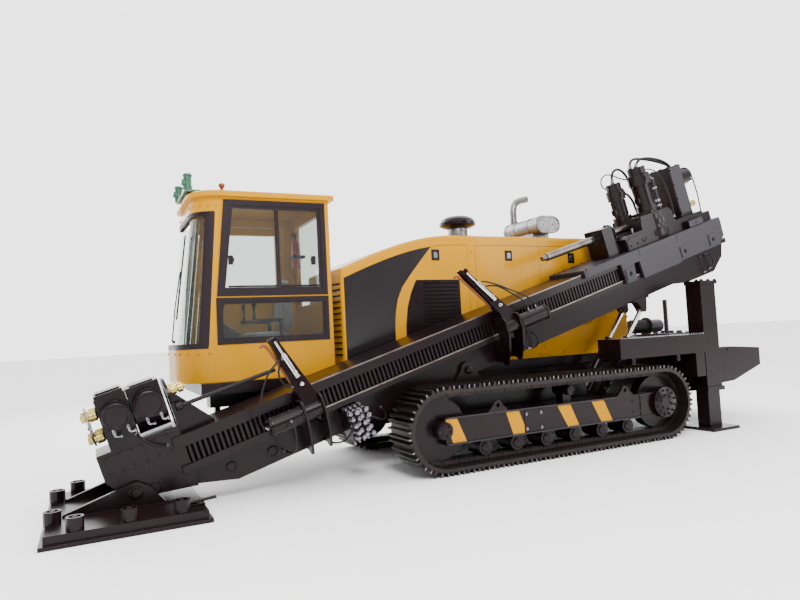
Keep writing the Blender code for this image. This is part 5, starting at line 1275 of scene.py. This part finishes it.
class DRILL_OT_drill_frame_parts(bpy.types.Operator):
    """Dress the drill frame: brackets, rail edges, guide nuts, wiper plate and guide rod"""
    bl_idname = "drill.drill_frame_parts"
    bl_label = "Drill frame fittings"

    def execute(self, context):
        tubes = Stock(BOOM)
        for s, t, n in ((-3.182, -0.24, 0.18), (-2.56, -0.155, 0.06), (-2.18, -0.155, 0.04)):
            tubes.lathe((s, t, n), NEARWARDS, ((0, 0.05), (0.01, 0.05), (0.012, 0.047), (0.012, 0.036),
                                               (0.002, 0.034)), 28)
        for side in (-1, 1):
            tubes.lathe((0, side * 0.2055, 0), (0, side, 0), ((0, 0.038), (0.016, 0.038), (0.02, 0.03),
                                                              (0.02, 0.012)), 28)
            tubes.plate(((-3.47, 0.4), (-2.96, 0.4), (-2.96, 0.56), (-3.47, 0.56)), "Y",
                        side * (VISE_PLATE_T + 0.0003), side * (VISE_PLATE_T + 0.008))
        # Upright behind the rear vise, with two ribs on the rail
        tubes.frame(self.arch(0.15, RAIL_N, 0.1885), self.arch(0.095, 0.56, 0.0949), "X", -2.862, -2.84)
        for t in (-0.148, 0.126):
            tubes.plate(((-2.84, RAIL_N), (-2.56, RAIL_N), (-2.57, 0.53), (-2.79, 0.83),
                         (-2.84, 0.86)), "Y", t, t + 0.022)
        tubes.end("frame_brackets", "black_enamel", "boom", 2)
        rails = Stock(BOOM)
        for side in (-1, 1):
            for n, high in ((0.2385, 0.2515), (0.4925, 0.5055)):
                rails.block((-1.9, 4.34), (side * 0.2701, side * 0.2707), (n, high))
        rails.end("rail_edges", "worn_steel", "boom")
        brass = Stock(BOOM)
        for n in (0.9, 0.715):
            for t in (-0.135, 0.135):
                brass.lathe((-3.4055, t, n), FORWARDS, ((0, 0.028), (0.012, 0.044), (0.066, 0.044),
                                                        (0.07, 0.03), (0.082, 0.03)), 20)
                brass.hexagon((-3.502, t, n), FORWARDS, 0.06, 0.034)
        for t in (-0.115, 0.115):
            brass.lathe((-2.8395, t, 0.875), REARWARDS, (
                (0, 0.022), (0.016, 0.024), (0.018, 0.042), (0.06, 0.042), (0.064, 0.026), (0.074, 0.026),
                (0.078, 0.04), (0.118, 0.04), (0.122, 0.022), (0.14, 0.018)), 20)
        brass.end("guide_nuts", "yellow_zinc", "boom", 1)
        plate = Stock(BOOM)
        plate.frame(about_string(0.205, 0.165), about_string(0.075, 0.075), "X", -3.5, -3.488)
        plate.end("wiper_plate", "zinc_plate", "boom", 1)
        rod = Stock(BOOM)
        rod.bar((-2.84, -0.205, 0.735), (-1.935, -0.205, 0.735), 0.018, 20)
        rod.lathe((-2.8405, -0.205, 0.735), REARWARDS, ((0, 0.018), (0.01, 0.034), (0.06, 0.034),
                                                        (0.066, 0.02)), 20)
        rod.block((-2.862, -2.84), (-0.24, -0.14), (0.69, 0.78))
        rod.end("guide_rod", "hose_rubber", "boom", 1.5)
        return {"FINISHED"}

    def arch(self, half, foot, radius):
        """Straight legs up to the drill string and a half circle over it."""
        turns = [math.pi * i / 12 for i in range(13)]
        return [(0.0, foot), (half, foot), (half, DRILL_N),
                *[(radius * math.cos(a), DRILL_N + radius * math.sin(a)) for a in turns],
                (-half, DRILL_N), (-half, foot)]


class DRILL_OT_vise_parts(bpy.types.Operator):
    """Dress the vises: ram rims and top bars, jaws and elbow fittings"""
    bl_idname = "drill.vise_parts"
    bl_label = "Vise fittings"

    def execute(self, context):
        for body, name, s, bar in (("boom", "front", -3.285, (1.0485, 1.062)),
                                   ("breakout_vise", "rear", -3.025, (1.0005, 1.032))):
            rims, jaws, elbows = Stock(BOOM), Stock(BOOM), Stock(BOOM)
            for side in (-1, 1):
                rims.lathe((s, side * 0.4, RAM_N), (0, side, 0), (
                    (0, 0.103), (0.004, 0.103), (0.007, 0.1), (0.007, 0.088), (0.001, 0.086)), 36)
                rims.lathe((s, side * 0.275, RAM_N), (0, side, 0), (
                    (0, 0.119), (0.01, 0.119), (0.012, 0.1055)), 36)
                for k in range(5):
                    low = s - 0.055 + k * 0.024
                    jaws.plate([(side * t, DRILL_N + up) for t, up in (
                        (0.07, -0.03), (0.048, -0.022), (0.044, 0.0), (0.048, 0.022), (0.07, 0.03))],
                        "X", low, low + 0.018)
                for x in (s - 0.05, s + 0.06):
                    t, n = side * 0.335, RAM_N - 0.105
                    elbows.lathe((x, t, n + 0.01), DOWN, (
                        (0, 0.013), (0.016, 0.013), (0.018, 0.016), (0.028, 0.016), (0.03, 0.011),
                        (0.048, 0.011)), 16)
                    elbows.tube(smooth_path([(x + ahead, t, n - drop) for ahead, drop in (
                        (0.0, 0.032), (0.0, 0.046), (0.01, 0.056), (0.038, 0.058))], 9), 0.01, 12)
                    elbows.hexagon((x + 0.034, t, n - 0.058), REARWARDS, 0.028, 0.016)
            rims.block((s - 0.095, s + 0.095), (-0.15, 0.15), bar)
            rims.end(f"ram_rims_{name}", "black_enamel", body, 1.5)
            jaws.end(f"jaws_{name}", "zinc_plate", body, 1)
            elbows.end(f"elbows_{name}", "zinc_plate", body, 0.8)
        return {"FINISHED"}


class DRILL_OT_arm_parts(bpy.types.Operator):
    """Dress the rod arms: clamp rams, grippers, forks and the rings of their drums; and the valve ports"""
    bl_idname = "drill.arm_parts"
    bl_label = "Rod arm fittings"

    def execute(self, context):
        # Each arm's body, and s at its bend and at its tip
        for body, bend, tip in (("arm_1", -1.785, -1.905), ("arm_2", 0.505, 0.205)):
            def spot(n, ds=0.0, dt=0.0):
                """A point on this arm's middle line at a height, moved along and across."""
                lean = min(max((n - ARM_BEND_N) / (ARM_TIP_N - ARM_BEND_N), 0.0), 1.0)
                rise = (n - DRUM_N) / (ARM_TIP_N - DRUM_N)
                return (bend + lean * (tip - bend) + ds, DRUM_T + rise * (ARM_TIP_T - DRUM_T) + dt, n)

            ram = Stock(BOOM)
            ram.bar(spot(0.64, 0, -0.062), spot(0.86, 0, -0.058), 0.022, 20)
            ram.bar(spot(0.855, 0, -0.058), spot(0.985, 0, -0.055), 0.011, 16)
            ram.hexagon(spot(0.625, 0, -0.062), Vector(spot(0.65)) - Vector(spot(0.62)), 0.044, 0.018)
            for n in (0.68, 0.84):
                ram.lathe(spot(n, 0, -0.08), NEARWARDS, ((0, 0.01), (0.012, 0.01), (0.014, 0.014),
                                                         (0.03, 0.014)), 12)
            ram.lathe(spot(0.56, 0, -0.055), NEARWARDS, ((0, 0.018), (0.01, 0.018), (0.012, 0.012),
                                                         (0.035, 0.012)), 16)
            ram.end(f"{body}_clamp_ram", "chromed_steel", body, 0.8)
            hook = Stock(BOOM)
            low, high = spot(0.56, -0.062, 0.02), spot(0.9, -0.07, 0.02)
            hook.tube([Vector(low).lerp(Vector(high), i / 5) for i in range(6)], 0.014, 6)
            hook.tube(smooth_path((high, spot(0.95, -0.074, 0.016), spot(0.985, -0.096, 0.008),
                                   spot(0.975, -0.13, 0.004)), 10), 0.014, 6)
            for n in (0.585, 0.8):
                hook.tube([spot(n, -0.066, 0.02), spot(n, -0.02, 0.012)], 0.012, 8)
            hook.end(f"{body}_gripper", "orange_enamel", body, 1)
            fork = Stock(BOOM)
            for ds in (-0.036, 0.026):
                fork.lathe(spot(1.0, ds + 0.005, -0.02), REARWARDS, (
                    (-0.006, 0.03), (-0.005, 0.034), (0.005, 0.034), (0.006, 0.03)), 20)
            fork.bar(spot(1.0, -0.048, -0.02), spot(1.0, 0.048, -0.02), 0.012, 16)
            fork.end(f"{body}_fork", "black_enamel", body, 1)
        drums = Stock(BOOM)
        for end, ahead, edge in ((-2.19, -1, -1.88), (1.0, 1, 0.61)):
            drums.lathe((end, DRUM_T, DRUM_N), (ahead, 0, 0), ((0, 0.078), (0.006, 0.078), (0.008, 0.07),
                        (0.008, 0.048), (0.014, 0.042), (0.014, 0.016)), 32)
            for s in (end - ahead * 0.016, edge + ahead * 0.02):
                drums.lathe((s, DRUM_T, DRUM_N), (ahead, 0, 0), ((-0.008, 0.0805), (-0.006, 0.086),
                            (0.006, 0.086), (0.008, 0.0805)), 32)
        drums.end("drum_rings", "black_enamel", "boom")
        self.valves()
        return {"FINISHED"}

    def valves(self):
        """Ports of different lengths all over the valve block, and two red caps."""
        ports, cap = Stock(BOOM), Stock(BOOM)
        for i, s in enumerate((-1.452, -1.404, -1.356, -1.308)):
            for k, n in enumerate((-0.112, -0.052, 0.008, 0.068, 0.122)):
                long = 0.034 + 0.022 * ((i * 2 + k * 3) % 4)
                ports.lathe((s, -0.36, n), NEARWARDS, (
                    (0, 0.023), (0.008, 0.023), (0.012, 0.018), (long, 0.018), (long + 0.003, 0.022),
                    (long + 0.018, 0.022), (long + 0.021, 0.015)), 14)
                if (i + k) % 3 == 0:
                    ports.hexagon((s, -0.381 - long, n), NEARWARDS, 0.024, 0.014)
            ports.lathe((s, -0.3, 0.145), UP,
                        ((0, 0.018), (0.01, 0.018), (0.012, 0.013), (0.024, 0.013)), 12)
            ports.block((s - 0.016, s + 0.016), (-0.25, -0.19), (0.1455, 0.168))
            ports.lathe((s, -0.27, -0.15), DOWN,
                        ((0, 0.018), (0.02, 0.018), (0.022, 0.012), (0.044, 0.012)), 12)
        for t, n in ((-0.3, 0.06), (-0.25, -0.06)):
            cap.lathe((-1.283, t, n), REARWARDS, ((0, 0.024), (0.026, 0.024), (0.032, 0.018)), 20)
        ports.end("valve_ports", "zinc_plate", "boom", 0.8)
        cap.end("valve_cap", "red_enamel", "boom")


class DRILL_OT_power_head_parts(bpy.types.Operator):
    """Dress the power head: motor casings, fittings, swivel, wear plates, guide cover and pins"""
    bl_idname = "drill.power_head_parts"
    bl_label = "Power head fittings"

    def execute(self, context):
        motors = Stock(BOOM)
        for s, t, low, high, radius in MOTORS:
            for i in range(8):
                a = 2 * math.pi * (i + 0.5) / 8
                x, y = s + radius * math.cos(a), t + radius * math.sin(a)
                motors.bar((x, y, low), (x, y, high), 0.013, 10)
            motors.lathe((s, t, high + 0.015), UP, ((0, radius + 0.002), (0.004, radius + 0.016),
                         (0.02, radius + 0.016), (0.024, radius + 0.002)), 32)
            side, front = t - radius, s - radius
            motors.block((s - 0.04, s + 0.04), (side - 0.04, side + 0.03), (high + 0.045, high + 0.11))
            motors.block((front - 0.035, front + 0.03), (t - 0.035, t + 0.035), (low + 0.03, low + 0.1))
        motors.lathe((2.64, 0, DRILL_N), FORWARDS, (
            (0, 0.12), (0.012, 0.12), (0.015, 0.108), (0.045, 0.1), (0.048, 0.056)), 36)
        motors.lathe((3.3, -0.074, CARRIAGE_N), UP, (
            (0, 0.176), (0.02, 0.188), (0.052, 0.188), (0.056, 0.174), (0.088, 0.174), (0.092, 0.188),
            (0.15, 0.188), (0.154, 0.17), (0.186, 0.17), (0.19, 0.186), (0.262, 0.186), (0.266, 0.172),
            (0.318, 0.172)), 48)
        motors.lathe((2.94, -0.1, CARRIAGE_N), UP, ((0, 0.14), (0.06, 0.14), (0.064, 0.15),
                     (0.096, 0.15), (0.1, 0.136), (0.14, 0.136)), 40)
        motors.plate(((2.65, 0.56), (2.98, 0.56), (2.98, 0.7), (2.72, 0.7), (2.65, 0.665)), "Y",
                     -0.2425, -0.2353)
        motors.plate(((3.02, 0.56), (3.52, 0.56), (3.52, 0.82), (3.48, 0.86), (3.02, 0.86)), "Y",
                     0.2353, 0.2425)
        motors.end("motor_parts", "black_enamel", "carriage_body", 1.5)
        silver = Stock(BOOM)
        tower = (3.48, -0.11)
        silver.lathe((*tower, 1.3), UP, ((0, 0.05), (0.006, 0.05), (0.01, 0.03), (0.03, 0.026),
                     (0.032, 0.018), (0.05, 0.018)), 24)
        silver.lathe((*tower, 1.02), UP, ((-0.02, 0.0525), (-0.018, 0.058), (0.01, 0.058),
                     (0.012, 0.0525)), 28)
        for n in (0.95, 1.18):
            silver.lathe((*tower, n), UP, ((-0.012, 0.0525), (-0.01, 0.06), (0.01, 0.06),
                         (0.012, 0.0525)), 6)
        for spot in ((3.05, 0.2, 0.7), (2.86, -0.17, 0.735), (3.62, -0.17, 0.7),
                     (3.66, 0.13, 0.7)):
            silver.lathe(spot, UP, ((0, 0.018), (0.01, 0.018), (0.012, 0.012), (0.036, 0.012),
                         (0.038, 0.016), (0.056, 0.016)), 12)
        for t, n in ((-0.09, 1.24), (0.075, 1.255), (0.06, 1.14), (-0.08, 1.13)):
            silver.hexagon((4.26, t, n), REARWARDS, 0.026, 0.02)
        silver.lathe((4.26, 0.0, 1.2), REARWARDS, ((0, 0.09), (0.008, 0.09), (0.01, 0.06),
                     (0.028, 0.056), (0.03, 0.03)), 28)
        silver.end("head_fittings", "zinc_plate", "carriage_body", 0.8)
        brass = Stock(BOOM)
        brass.lathe((4.11, 0.0, DRILL_N), REARWARDS, (
            (-0.004, 0.04), (0.0, 0.046), (0.02, 0.046), (0.022, 0.038), (0.15, 0.038), (0.152, 0.043),
            (0.178, 0.043), (0.182, 0.036)), 32)
        brass.end("swivel", "yellow_zinc", "carriage_body", 0.8)
        skids = Stock(BOOM)
        for s0, s1 in ((1.83, 2.36), (2.72, 3.38), (3.42, 4.15)):
            skids.block((s0, s1), (-0.3135, -0.3103), (0.4555, 0.54))
        skids.block((3.812, 4.018), (-0.1642, -0.1602), (0.735, 1.362))
        skids.block((3.722, 3.988), (-0.304, -0.3002), (0.556, 0.632))
        skids.end("skid_plates", "grey_enamel", "carriage_body", 1.2)
        guide = Stock(BOOM)
        rim = []
        for a in spokes(32):
            up = 0.0955 if math.sin(a) > 0 else 0.262
            reach = min(0.15 / max(abs(math.cos(a)), 1e-6), up / max(abs(math.sin(a)), 1e-6))
            rim.append((reach * math.cos(a), DRILL_N + reach * math.sin(a)))
        front, rear = GUIDE_S
        for s in (front, rear - 0.004):
            guide.frame(rim, about_string(0.072, 0.072), "X", s, s + 0.004)
        for side in (-1, 1):
            guide.block(GUIDE_S, (side * 0.1505, side * 0.1535), (0.546, 0.9055))
            guide.plate(((rear, CARRIAGE_N), (2.7, CARRIAGE_N), (rear, 0.72)), "Y", side * 0.13,
                        side * 0.15)
        guide.block(GUIDE_S, (-0.1535, 0.1535), (0.9055, 0.9085))
        guide.end("guide_cover", "black_enamel", "carriage_body", 1)
        pins = Stock(BOOM)
        for s in (2.485, 3.493, 4.06):
            pins.lathe((s, -0.296, 0.3), NEARWARDS, ((0, 0.026), (0.016, 0.026), (0.018, 0.022),
                       (0.018, 0.012), (0.012, 0.01)), 20)
        pins.lathe((3.855, -0.3005, 0.594), NEARWARDS, ((0, 0.016), (0.006, 0.016), (0.007, 0.012)), 20)
        pins.end("skid_pins", "hose_rubber", "carriage_body")
        return {"FINISHED"}


class DRILL_OT_body_parts(bpy.types.Operator):
    """Dress the step, the rear box, the pump and the anchor, and add the accumulator"""
    bl_idname = "drill.body_parts"
    bl_label = "Step, pump and anchor"

    def execute(self, context):
        tooth = Stock()
        tooth.plate(((0.905, 1.1703), (0.905, 1.182), (0.914, 1.188), (0.923, 1.182), (0.923, 1.1703)), "Y",
                    -1.05, -1.044)
        count = sizes().tread_teeth
        grow("tread_teeth", tooth.data("tooth"), bpy.data.node_groups["row"],
             {"Count": count, "Step": ((2.255 - 0.915) / (count - 1), 0.0, 0.0)}, "zinc_plate", "root")
        plain = Stock()
        plain.block((0.892, 2.266), (-1.0525, -0.698), (1.1625, 1.1703))
        for x in (1.06, 1.78):
            plain.block((x, x + 0.05), (-1.046, -0.96), (0.87, 0.9435))
            plain.lathe((x + 0.025, -1.046, 0.905), NEARWARDS,
                        ((0, 0.014), (0.006, 0.014), (0.007, 0.01)), 12)
        plain.end("step_parts", "black_enamel", "root", 1.5)
        self.rear()
        self.ground_plate()
        return {"FINISHED"}

    def rear(self):
        rim = Stock()
        rim.frame(((-0.714, 0.7), (0.714, 0.7), (0.714, 0.917), (-0.714, 0.917)),
                  ((-0.69, 0.724), (0.69, 0.724), (0.69, 0.893), (-0.69, 0.893)), "X", 3.7602, 3.766)
        rim.end("rear_rim", "black_enamel", "root", 1.5)
        pump = Stock()
        for y in (-0.06, 0.08, 0.22, 0.36):
            pump.lathe((3.02, y, 1.1705), UP, ((0, 0.048), (0.01, 0.048), (0.012, 0.036), (0.034, 0.036),
                       (0.036, 0.028)), 20)
            pump.block((3.1402, 3.156), (y - 0.045, y + 0.045), (1.01, 1.12))
        for i in range(7):
            x = 2.375 + i * 0.036
            pump.lathe((x, 0.2, 1.285), REARWARDS,
                       ((0, 0.0905), (0.002, 0.098), (0.01, 0.098), (0.012, 0.0905)), 32)
        pump.lathe((2.36, 0.2, 1.285), FORWARDS,
                   ((0, 0.082), (0.008, 0.078), (0.012, 0.03), (0.026, 0.028)), 28)
        pump.lathe((2.7, -0.1502, 1.07), NEARWARDS, ((0, 0.052), (0.012, 0.052), (0.014, 0.036),
                   (0.06, 0.036), (0.062, 0.048), (0.08, 0.048)), 24)
        pump.lathe((2.75, -0.08, 1.6202), UP, ((0, 0.034), (0.016, 0.034), (0.02, 0.022)), 20)
        pump.end("pump_parts", "grey_enamel", "root", 1.2)
        tank = Stock()
        tank.lathe((2.1, -0.02, 1.08), FARWARDS, ((-0.12, 0.06), (-0.118, 0.082), (-0.09, 0.092),
                   (0.12, 0.092), (0.14, 0.082), (0.142, 0.06)), 32)
        tank.block((2.0204, 2.24), (-0.16, 0.12), (0.97, 0.9885))
        for y in (-0.09, 0.05):
            tank.block((2.05, 2.15), (y - 0.01, y + 0.01), (0.9885, 1.02))
        tank.end("accumulator", "grey_enamel", "root", 1.2)

    def ground_plate(self):
        pins = Stock()
        for x, y in ((-4.559, -1.15), (-4.197, -1.145), (-3.829, -1.14), (-4.715, -0.88), (-4.714, -0.108),
                     (-4.564, 0.19), (-4.197, 0.19), (-3.829, 0.19)):
            pins.hexagon((x, y, 0.1375), UP, 0.062, 0.036)
            pins.lathe((x, y, 0.1735), UP, ((0, 0.02), (0.012, 0.02), (0.015, 0.014)), 16)
        pins.end("ground_pins", "rolled_steel", "anchor", 1.5)
        bosses = Stock()
        for side in (-1, 1):
            y = -0.45 + side * 0.292
            bosses.lathe((-4.13, y, 0.205), (0, side, 0),
                         ((0, 0.058), (0.008, 0.058), (0.011, 0.05), (0.011, 0.034)), 28)
        bosses.bar((-3.8, -1.0, 0.112), (-3.545, -0.992, 0.132), 0.013, 16)
        bosses.block((-3.8, -3.64), (-1.04, -0.95), (0.0925, 0.106))
        bosses.end("anchor_bosses", "black_enamel", "anchor", 1)


# Kinds of screw: which size, which finish
SCREW_KINDS = {"black": ("small_screw", "black_enamel"), "large black": ("large_screw", "black_enamel"),
               "bright": ("small_screw", "zinc_plate"), "large bright": ("large_screw", "zinc_plate"),
               "yellow": ("small_screw", "yellow_enamel")}
# Where a row or ring is set: as it is given, or on the opposite side as well
ONE_SIDE = (Vector,)
BOTH_SIDES = (Vector, opposite)
# Screws in rows: body, first and last place, count, kind, facing, sides
SCREW_ROWS = (
    ("root", (-0.47, -1.0635, 0.482), (-0.284, -1.0635, 0.482), 2, "bright", NEARWARDS, BOTH_SIDES),
    ("root", (-0.47, -1.0635, 0.33), (-0.284, -1.0635, 0.33), 2, "bright", NEARWARDS, BOTH_SIDES),
    ("root", (2.3, -1.04, 1.8205), (2.54, -1.04, 1.8205), 3, "large black", UP, BOTH_SIDES),
    ("root", (2.285, -0.985, 1.8205), (2.285, -0.865, 1.8205), 2, "large black", UP, BOTH_SIDES),
    ("root", (-0.395, -0.1005, 1.12), (-0.395, -0.1005, 2.28), 6, "yellow", NEARWARDS, ONE_SIDE),
    ("root", (1.995, -0.1005, 1.14), (1.995, -0.1005, 2.3), 5, "yellow", NEARWARDS, ONE_SIDE),
    ("root", (-1.99, -0.1005, 1.03), (1.97, -0.1005, 1.03), 12, "yellow", NEARWARDS, ONE_SIDE),
    ("root", (-1.99, 1.0205, 1.03), (1.97, 1.0205, 1.03), 12, "yellow", FARWARDS, ONE_SIDE),
    ("root", (2.66, -0.11, 1.1705), (2.66, 0.4, 1.1705), 5, "large bright", UP, ONE_SIDE),
    ("root", (3.11, -0.11, 1.1705), (3.11, 0.4, 1.1705), 5, "large bright", UP, ONE_SIDE),
    ("root", (2.64, -0.7205, 0.93), (3.12, -0.7205, 0.93), 4, "black", NEARWARDS, ONE_SIDE),
    ("boom", (-3.455, -0.2485, 0.545), (-2.975, -0.2485, 0.545), 6, "black", NEARWARDS, BOTH_SIDES),
    ("boom", (-3.455, -0.2485, 0.415), (-2.975, -0.2485, 0.415), 6, "black", NEARWARDS, ONE_SIDE),
    ("boom", (-3.36, -0.2405, 0.96), (-3.21, -0.2405, 0.96), 2, "black", NEARWARDS, ONE_SIDE),
    ("boom", (-3.38, -0.2405, 0.64), (-3.19, -0.2405, 0.64), 2, "black", NEARWARDS, ONE_SIDE),
    ("breakout_vise", (-3.13, -0.2055, 0.975), (-2.92, -0.2055, 0.975), 2, "black", NEARWARDS, ONE_SIDE),
    ("carriage_body", (3.825, -0.12, 1.3755), (3.825, 0.12, 1.3755), 3, "black", UP, ONE_SIDE),
    ("carriage_body", (4.005, -0.12, 1.3755), (4.005, 0.12, 1.3755), 3, "black", UP, ONE_SIDE),
    ("carriage_body", (3.816, -0.1605, 0.76), (3.816, -0.1605, 1.33), 4, "black", NEARWARDS, ONE_SIDE),
    ("carriage_body", (1.86, -0.28, 0.5445), (2.34, -0.28, 0.5445), 4, "black", UP, BOTH_SIDES),
    ("carriage_body", (2.7, -0.243, 0.6), (2.94, -0.243, 0.6), 3, "black", NEARWARDS, ONE_SIDE),
)
# Screws in rings: body, centre, radius, count, kind, facing, sides
SCREW_RINGS = (
    ("root", (AXLES[1], -1.12, AXLE_Z), 0.14, 12, "black", NEARWARDS, BOTH_SIDES),
    ("root", (AXLES[1], -1.125, AXLE_Z), 0.082, 6, "black", NEARWARDS, BOTH_SIDES),
    ("root", (AXLES[0], -1.083, AXLE_Z), 0.056, 6, "black", NEARWARDS, BOTH_SIDES),
    ("root", (2.6805, 0.2, 1.285), 0.108, 8, "black", REARWARDS, ONE_SIDE),
    ("boom", (-2.1985, DRUM_T, DRUM_N), 0.06, 6, "black", FORWARDS, ONE_SIDE),
    ("boom", (1.0085, DRUM_T, DRUM_N), 0.06, 6, "black", REARWARDS, ONE_SIDE),
    ("boom", (-3.5005, 0.0, DRILL_N), 0.115, 8, "black", FORWARDS, ONE_SIDE),
    ("carriage_body", (*MOTORS[0][:2], 0.9405), 0.104, 8, "black", UP, ONE_SIDE),
    ("carriage_body", (*MOTORS[1][:2], 1.4005), 0.124, 10, "black", UP, ONE_SIDE),
    ("carriage_body", (*MOTORS[0][:2], 1.2905), 0.104, 8, "black", UP, ONE_SIDE),
    ("carriage_body", (3.28, -0.05, 0.8805), 0.18, 14, "black", UP, ONE_SIDE),
    ("carriage_body", (2.625, 0.0, DRILL_N), 0.112, 10, "black", FORWARDS, ONE_SIDE),
)
# Screws round the cab's front corners
CAB_SCREW_HEIGHTS = (1.275, 2.73)
CAB_SCREW_ANGLES = (262, 243, 224, 205, 187)


class DRILL_OT_screws(bpy.types.Operator):
    """Set every row and ring of screws"""
    bl_idname = "drill.screws"
    bl_label = "Screws"

    def execute(self, context):
        groups = {}

        def note(body, kind, spot, facing):
            width, finish = SCREW_KINDS[kind]
            spots, facings, widths = groups.setdefault((body, finish), ([], [], []))
            spots.append(home(body) @ spot)
            facings.append(home(body).to_3x3() @ facing)
            widths.append(getattr(sizes(), width))

        for body, first, last, count, kind, facing, sides in SCREW_ROWS:
            for turned in sides:
                for i in range(count):
                    spot = Vector(first).lerp(Vector(last), i / (count - 1))
                    note(body, kind, turned(spot), turned(facing))
        for body, centre, radius, count, kind, facing, sides in SCREW_RINGS:
            for turned in sides:
                ahead = turned(facing)
                side = ahead.orthogonal().normalized()
                other = ahead.cross(side)
                for a in spokes(count):
                    spot = turned(centre) + radius * (side * math.cos(a) + other * math.sin(a))
                    note(body, kind, spot, ahead)
        for z in CAB_SCREW_HEIGHTS:
            for angle in CAB_SCREW_ANGLES:
                spot, out = cab_point(z, angle), cab_point(z, angle, 1.0)
                for turned in (Vector, mirrored):
                    note("root", "yellow", turned(spot), turned(out) - turned(spot))
        tree = screw_tree()
        for (body, finish), (spots, facings, widths) in groups.items():
            grow(f"screws_{body}_{finish.split('_')[0]}", dotted(spots, facing=facings, across=widths), tree,
                 {"Head height": 0.62, "Washer width": 1.75}, finish, body)
        return {"FINISHED"}


class DRILL_OT_stage(bpy.types.Operator):
    """Add the floor and the soft lights"""
    bl_idname = "drill.stage"
    bl_label = "Floor and light"

    def execute(self, context):
        mesh = bmesh.new()
        bmesh.ops.create_circle(mesh, cap_ends=True, segments=64, radius=FLOOR_RADIUS)
        data = bpy.data.meshes.new("floor")
        mesh.to_mesh(data)
        mesh.free()
        floor = bpy.data.objects.new("floor", data)
        data.materials.append(bpy.data.materials["studio_paper"])
        context.scene.collection.objects.link(floor)
        lights = (
            # name, place, aim, size, watts
            ("key_light", (-3.5, -8.0, 8.0), (0.2, 0.0, 1.2), 4.0, 1150.0),
            ("fill_light", (7.0, -7.0, 4.0), (1.0, 0.0, 1.2), 4.0, 300.0),
            ("back_light", (-2.0, 8.0, 6.5), (0.0, 0.0, 1.0), 6.0, 500.0),
        )
        for name, place, aim, size, watts in lights:
            light = bpy.data.lights.new(name, "AREA")
            light.shape = "DISK"
            light.size = size
            light.energy = watts
            holder = bpy.data.objects.new(name, light)
            holder.location = place
            holder.rotation_euler = (Vector(aim) - Vector(place)).to_track_quat("-Z", "Y").to_euler()
            context.scene.collection.objects.link(holder)
        world = bpy.data.worlds.new("studio_air")
        world.use_nodes = True
        tree = world.node_tree
        sky = tree.nodes["Background"]
        # Dark hall behind the camera, bright paper sweep behind the machine and overhead
        ahead = add(tree, "ShaderNodeTexCoord", "Generated")
        toward = add(tree, "ShaderNodeVectorMath", "Value", {0: ahead, 1: (0.36, 0.72, 0.6)},
                     operation="DOT_PRODUCT")
        bright = add(tree, "ShaderNodeMapRange", "Result", {"Value": toward, "From Min": -0.2,
                     "From Max": 0.55, "To Min": 0.4, "To Max": 3.2}, interpolation_type="SMOOTHSTEP")
        sky.inputs["Color"].default_value = linear("#FFFFFF")
        tree.links.new(bright, sky.inputs["Strength"])
        context.scene.world = world
        return {"FINISHED"}


class DRILL_PT_panel(bpy.types.Panel):
    bl_idname = "DRILL_PT_panel"
    bl_label = "Directional drill"
    bl_space_type = "VIEW_3D"
    bl_region_type = "UI"
    bl_category = "Drill"

    def draw(self, context):
        for group in (context.scene.drill_sizes, context.scene.drill_colours):
            for name in type(group).__annotations__:
                self.layout.prop(group, name)
        for step in STEPS:
            self.layout.operator(step.bl_idname)


STEPS = (DRILL_OT_finishes, DRILL_OT_camera, DRILL_OT_hoses, DRILL_OT_windows, DRILL_OT_cab_inside,
         DRILL_OT_cab_outside, DRILL_OT_hood_fittings, DRILL_OT_intake_exhaust, DRILL_OT_tracks,
         DRILL_OT_drill_frame_parts, DRILL_OT_vise_parts, DRILL_OT_arm_parts, DRILL_OT_power_head_parts,
         DRILL_OT_body_parts, DRILL_OT_screws, DRILL_OT_stage)
GROUPS = (DrillColours, DrillSizes)


def register():
    for item in (*GROUPS, *STEPS, DRILL_PT_panel):
        bpy.utils.register_class(item)
    bpy.types.Scene.drill_colours = PointerProperty(type=DrillColours)
    bpy.types.Scene.drill_sizes = PointerProperty(type=DrillSizes)


def unregister():
    del bpy.types.Scene.drill_sizes
    del bpy.types.Scene.drill_colours
    for item in reversed((*GROUPS, *STEPS, DRILL_PT_panel)):
        bpy.utils.unregister_class(item)


def main():
    register()
    for step in STEPS:
        group, name = step.bl_idname.split(".")
        getattr(getattr(bpy.ops, group), name)()


if __name__ == "__main__":
    main()
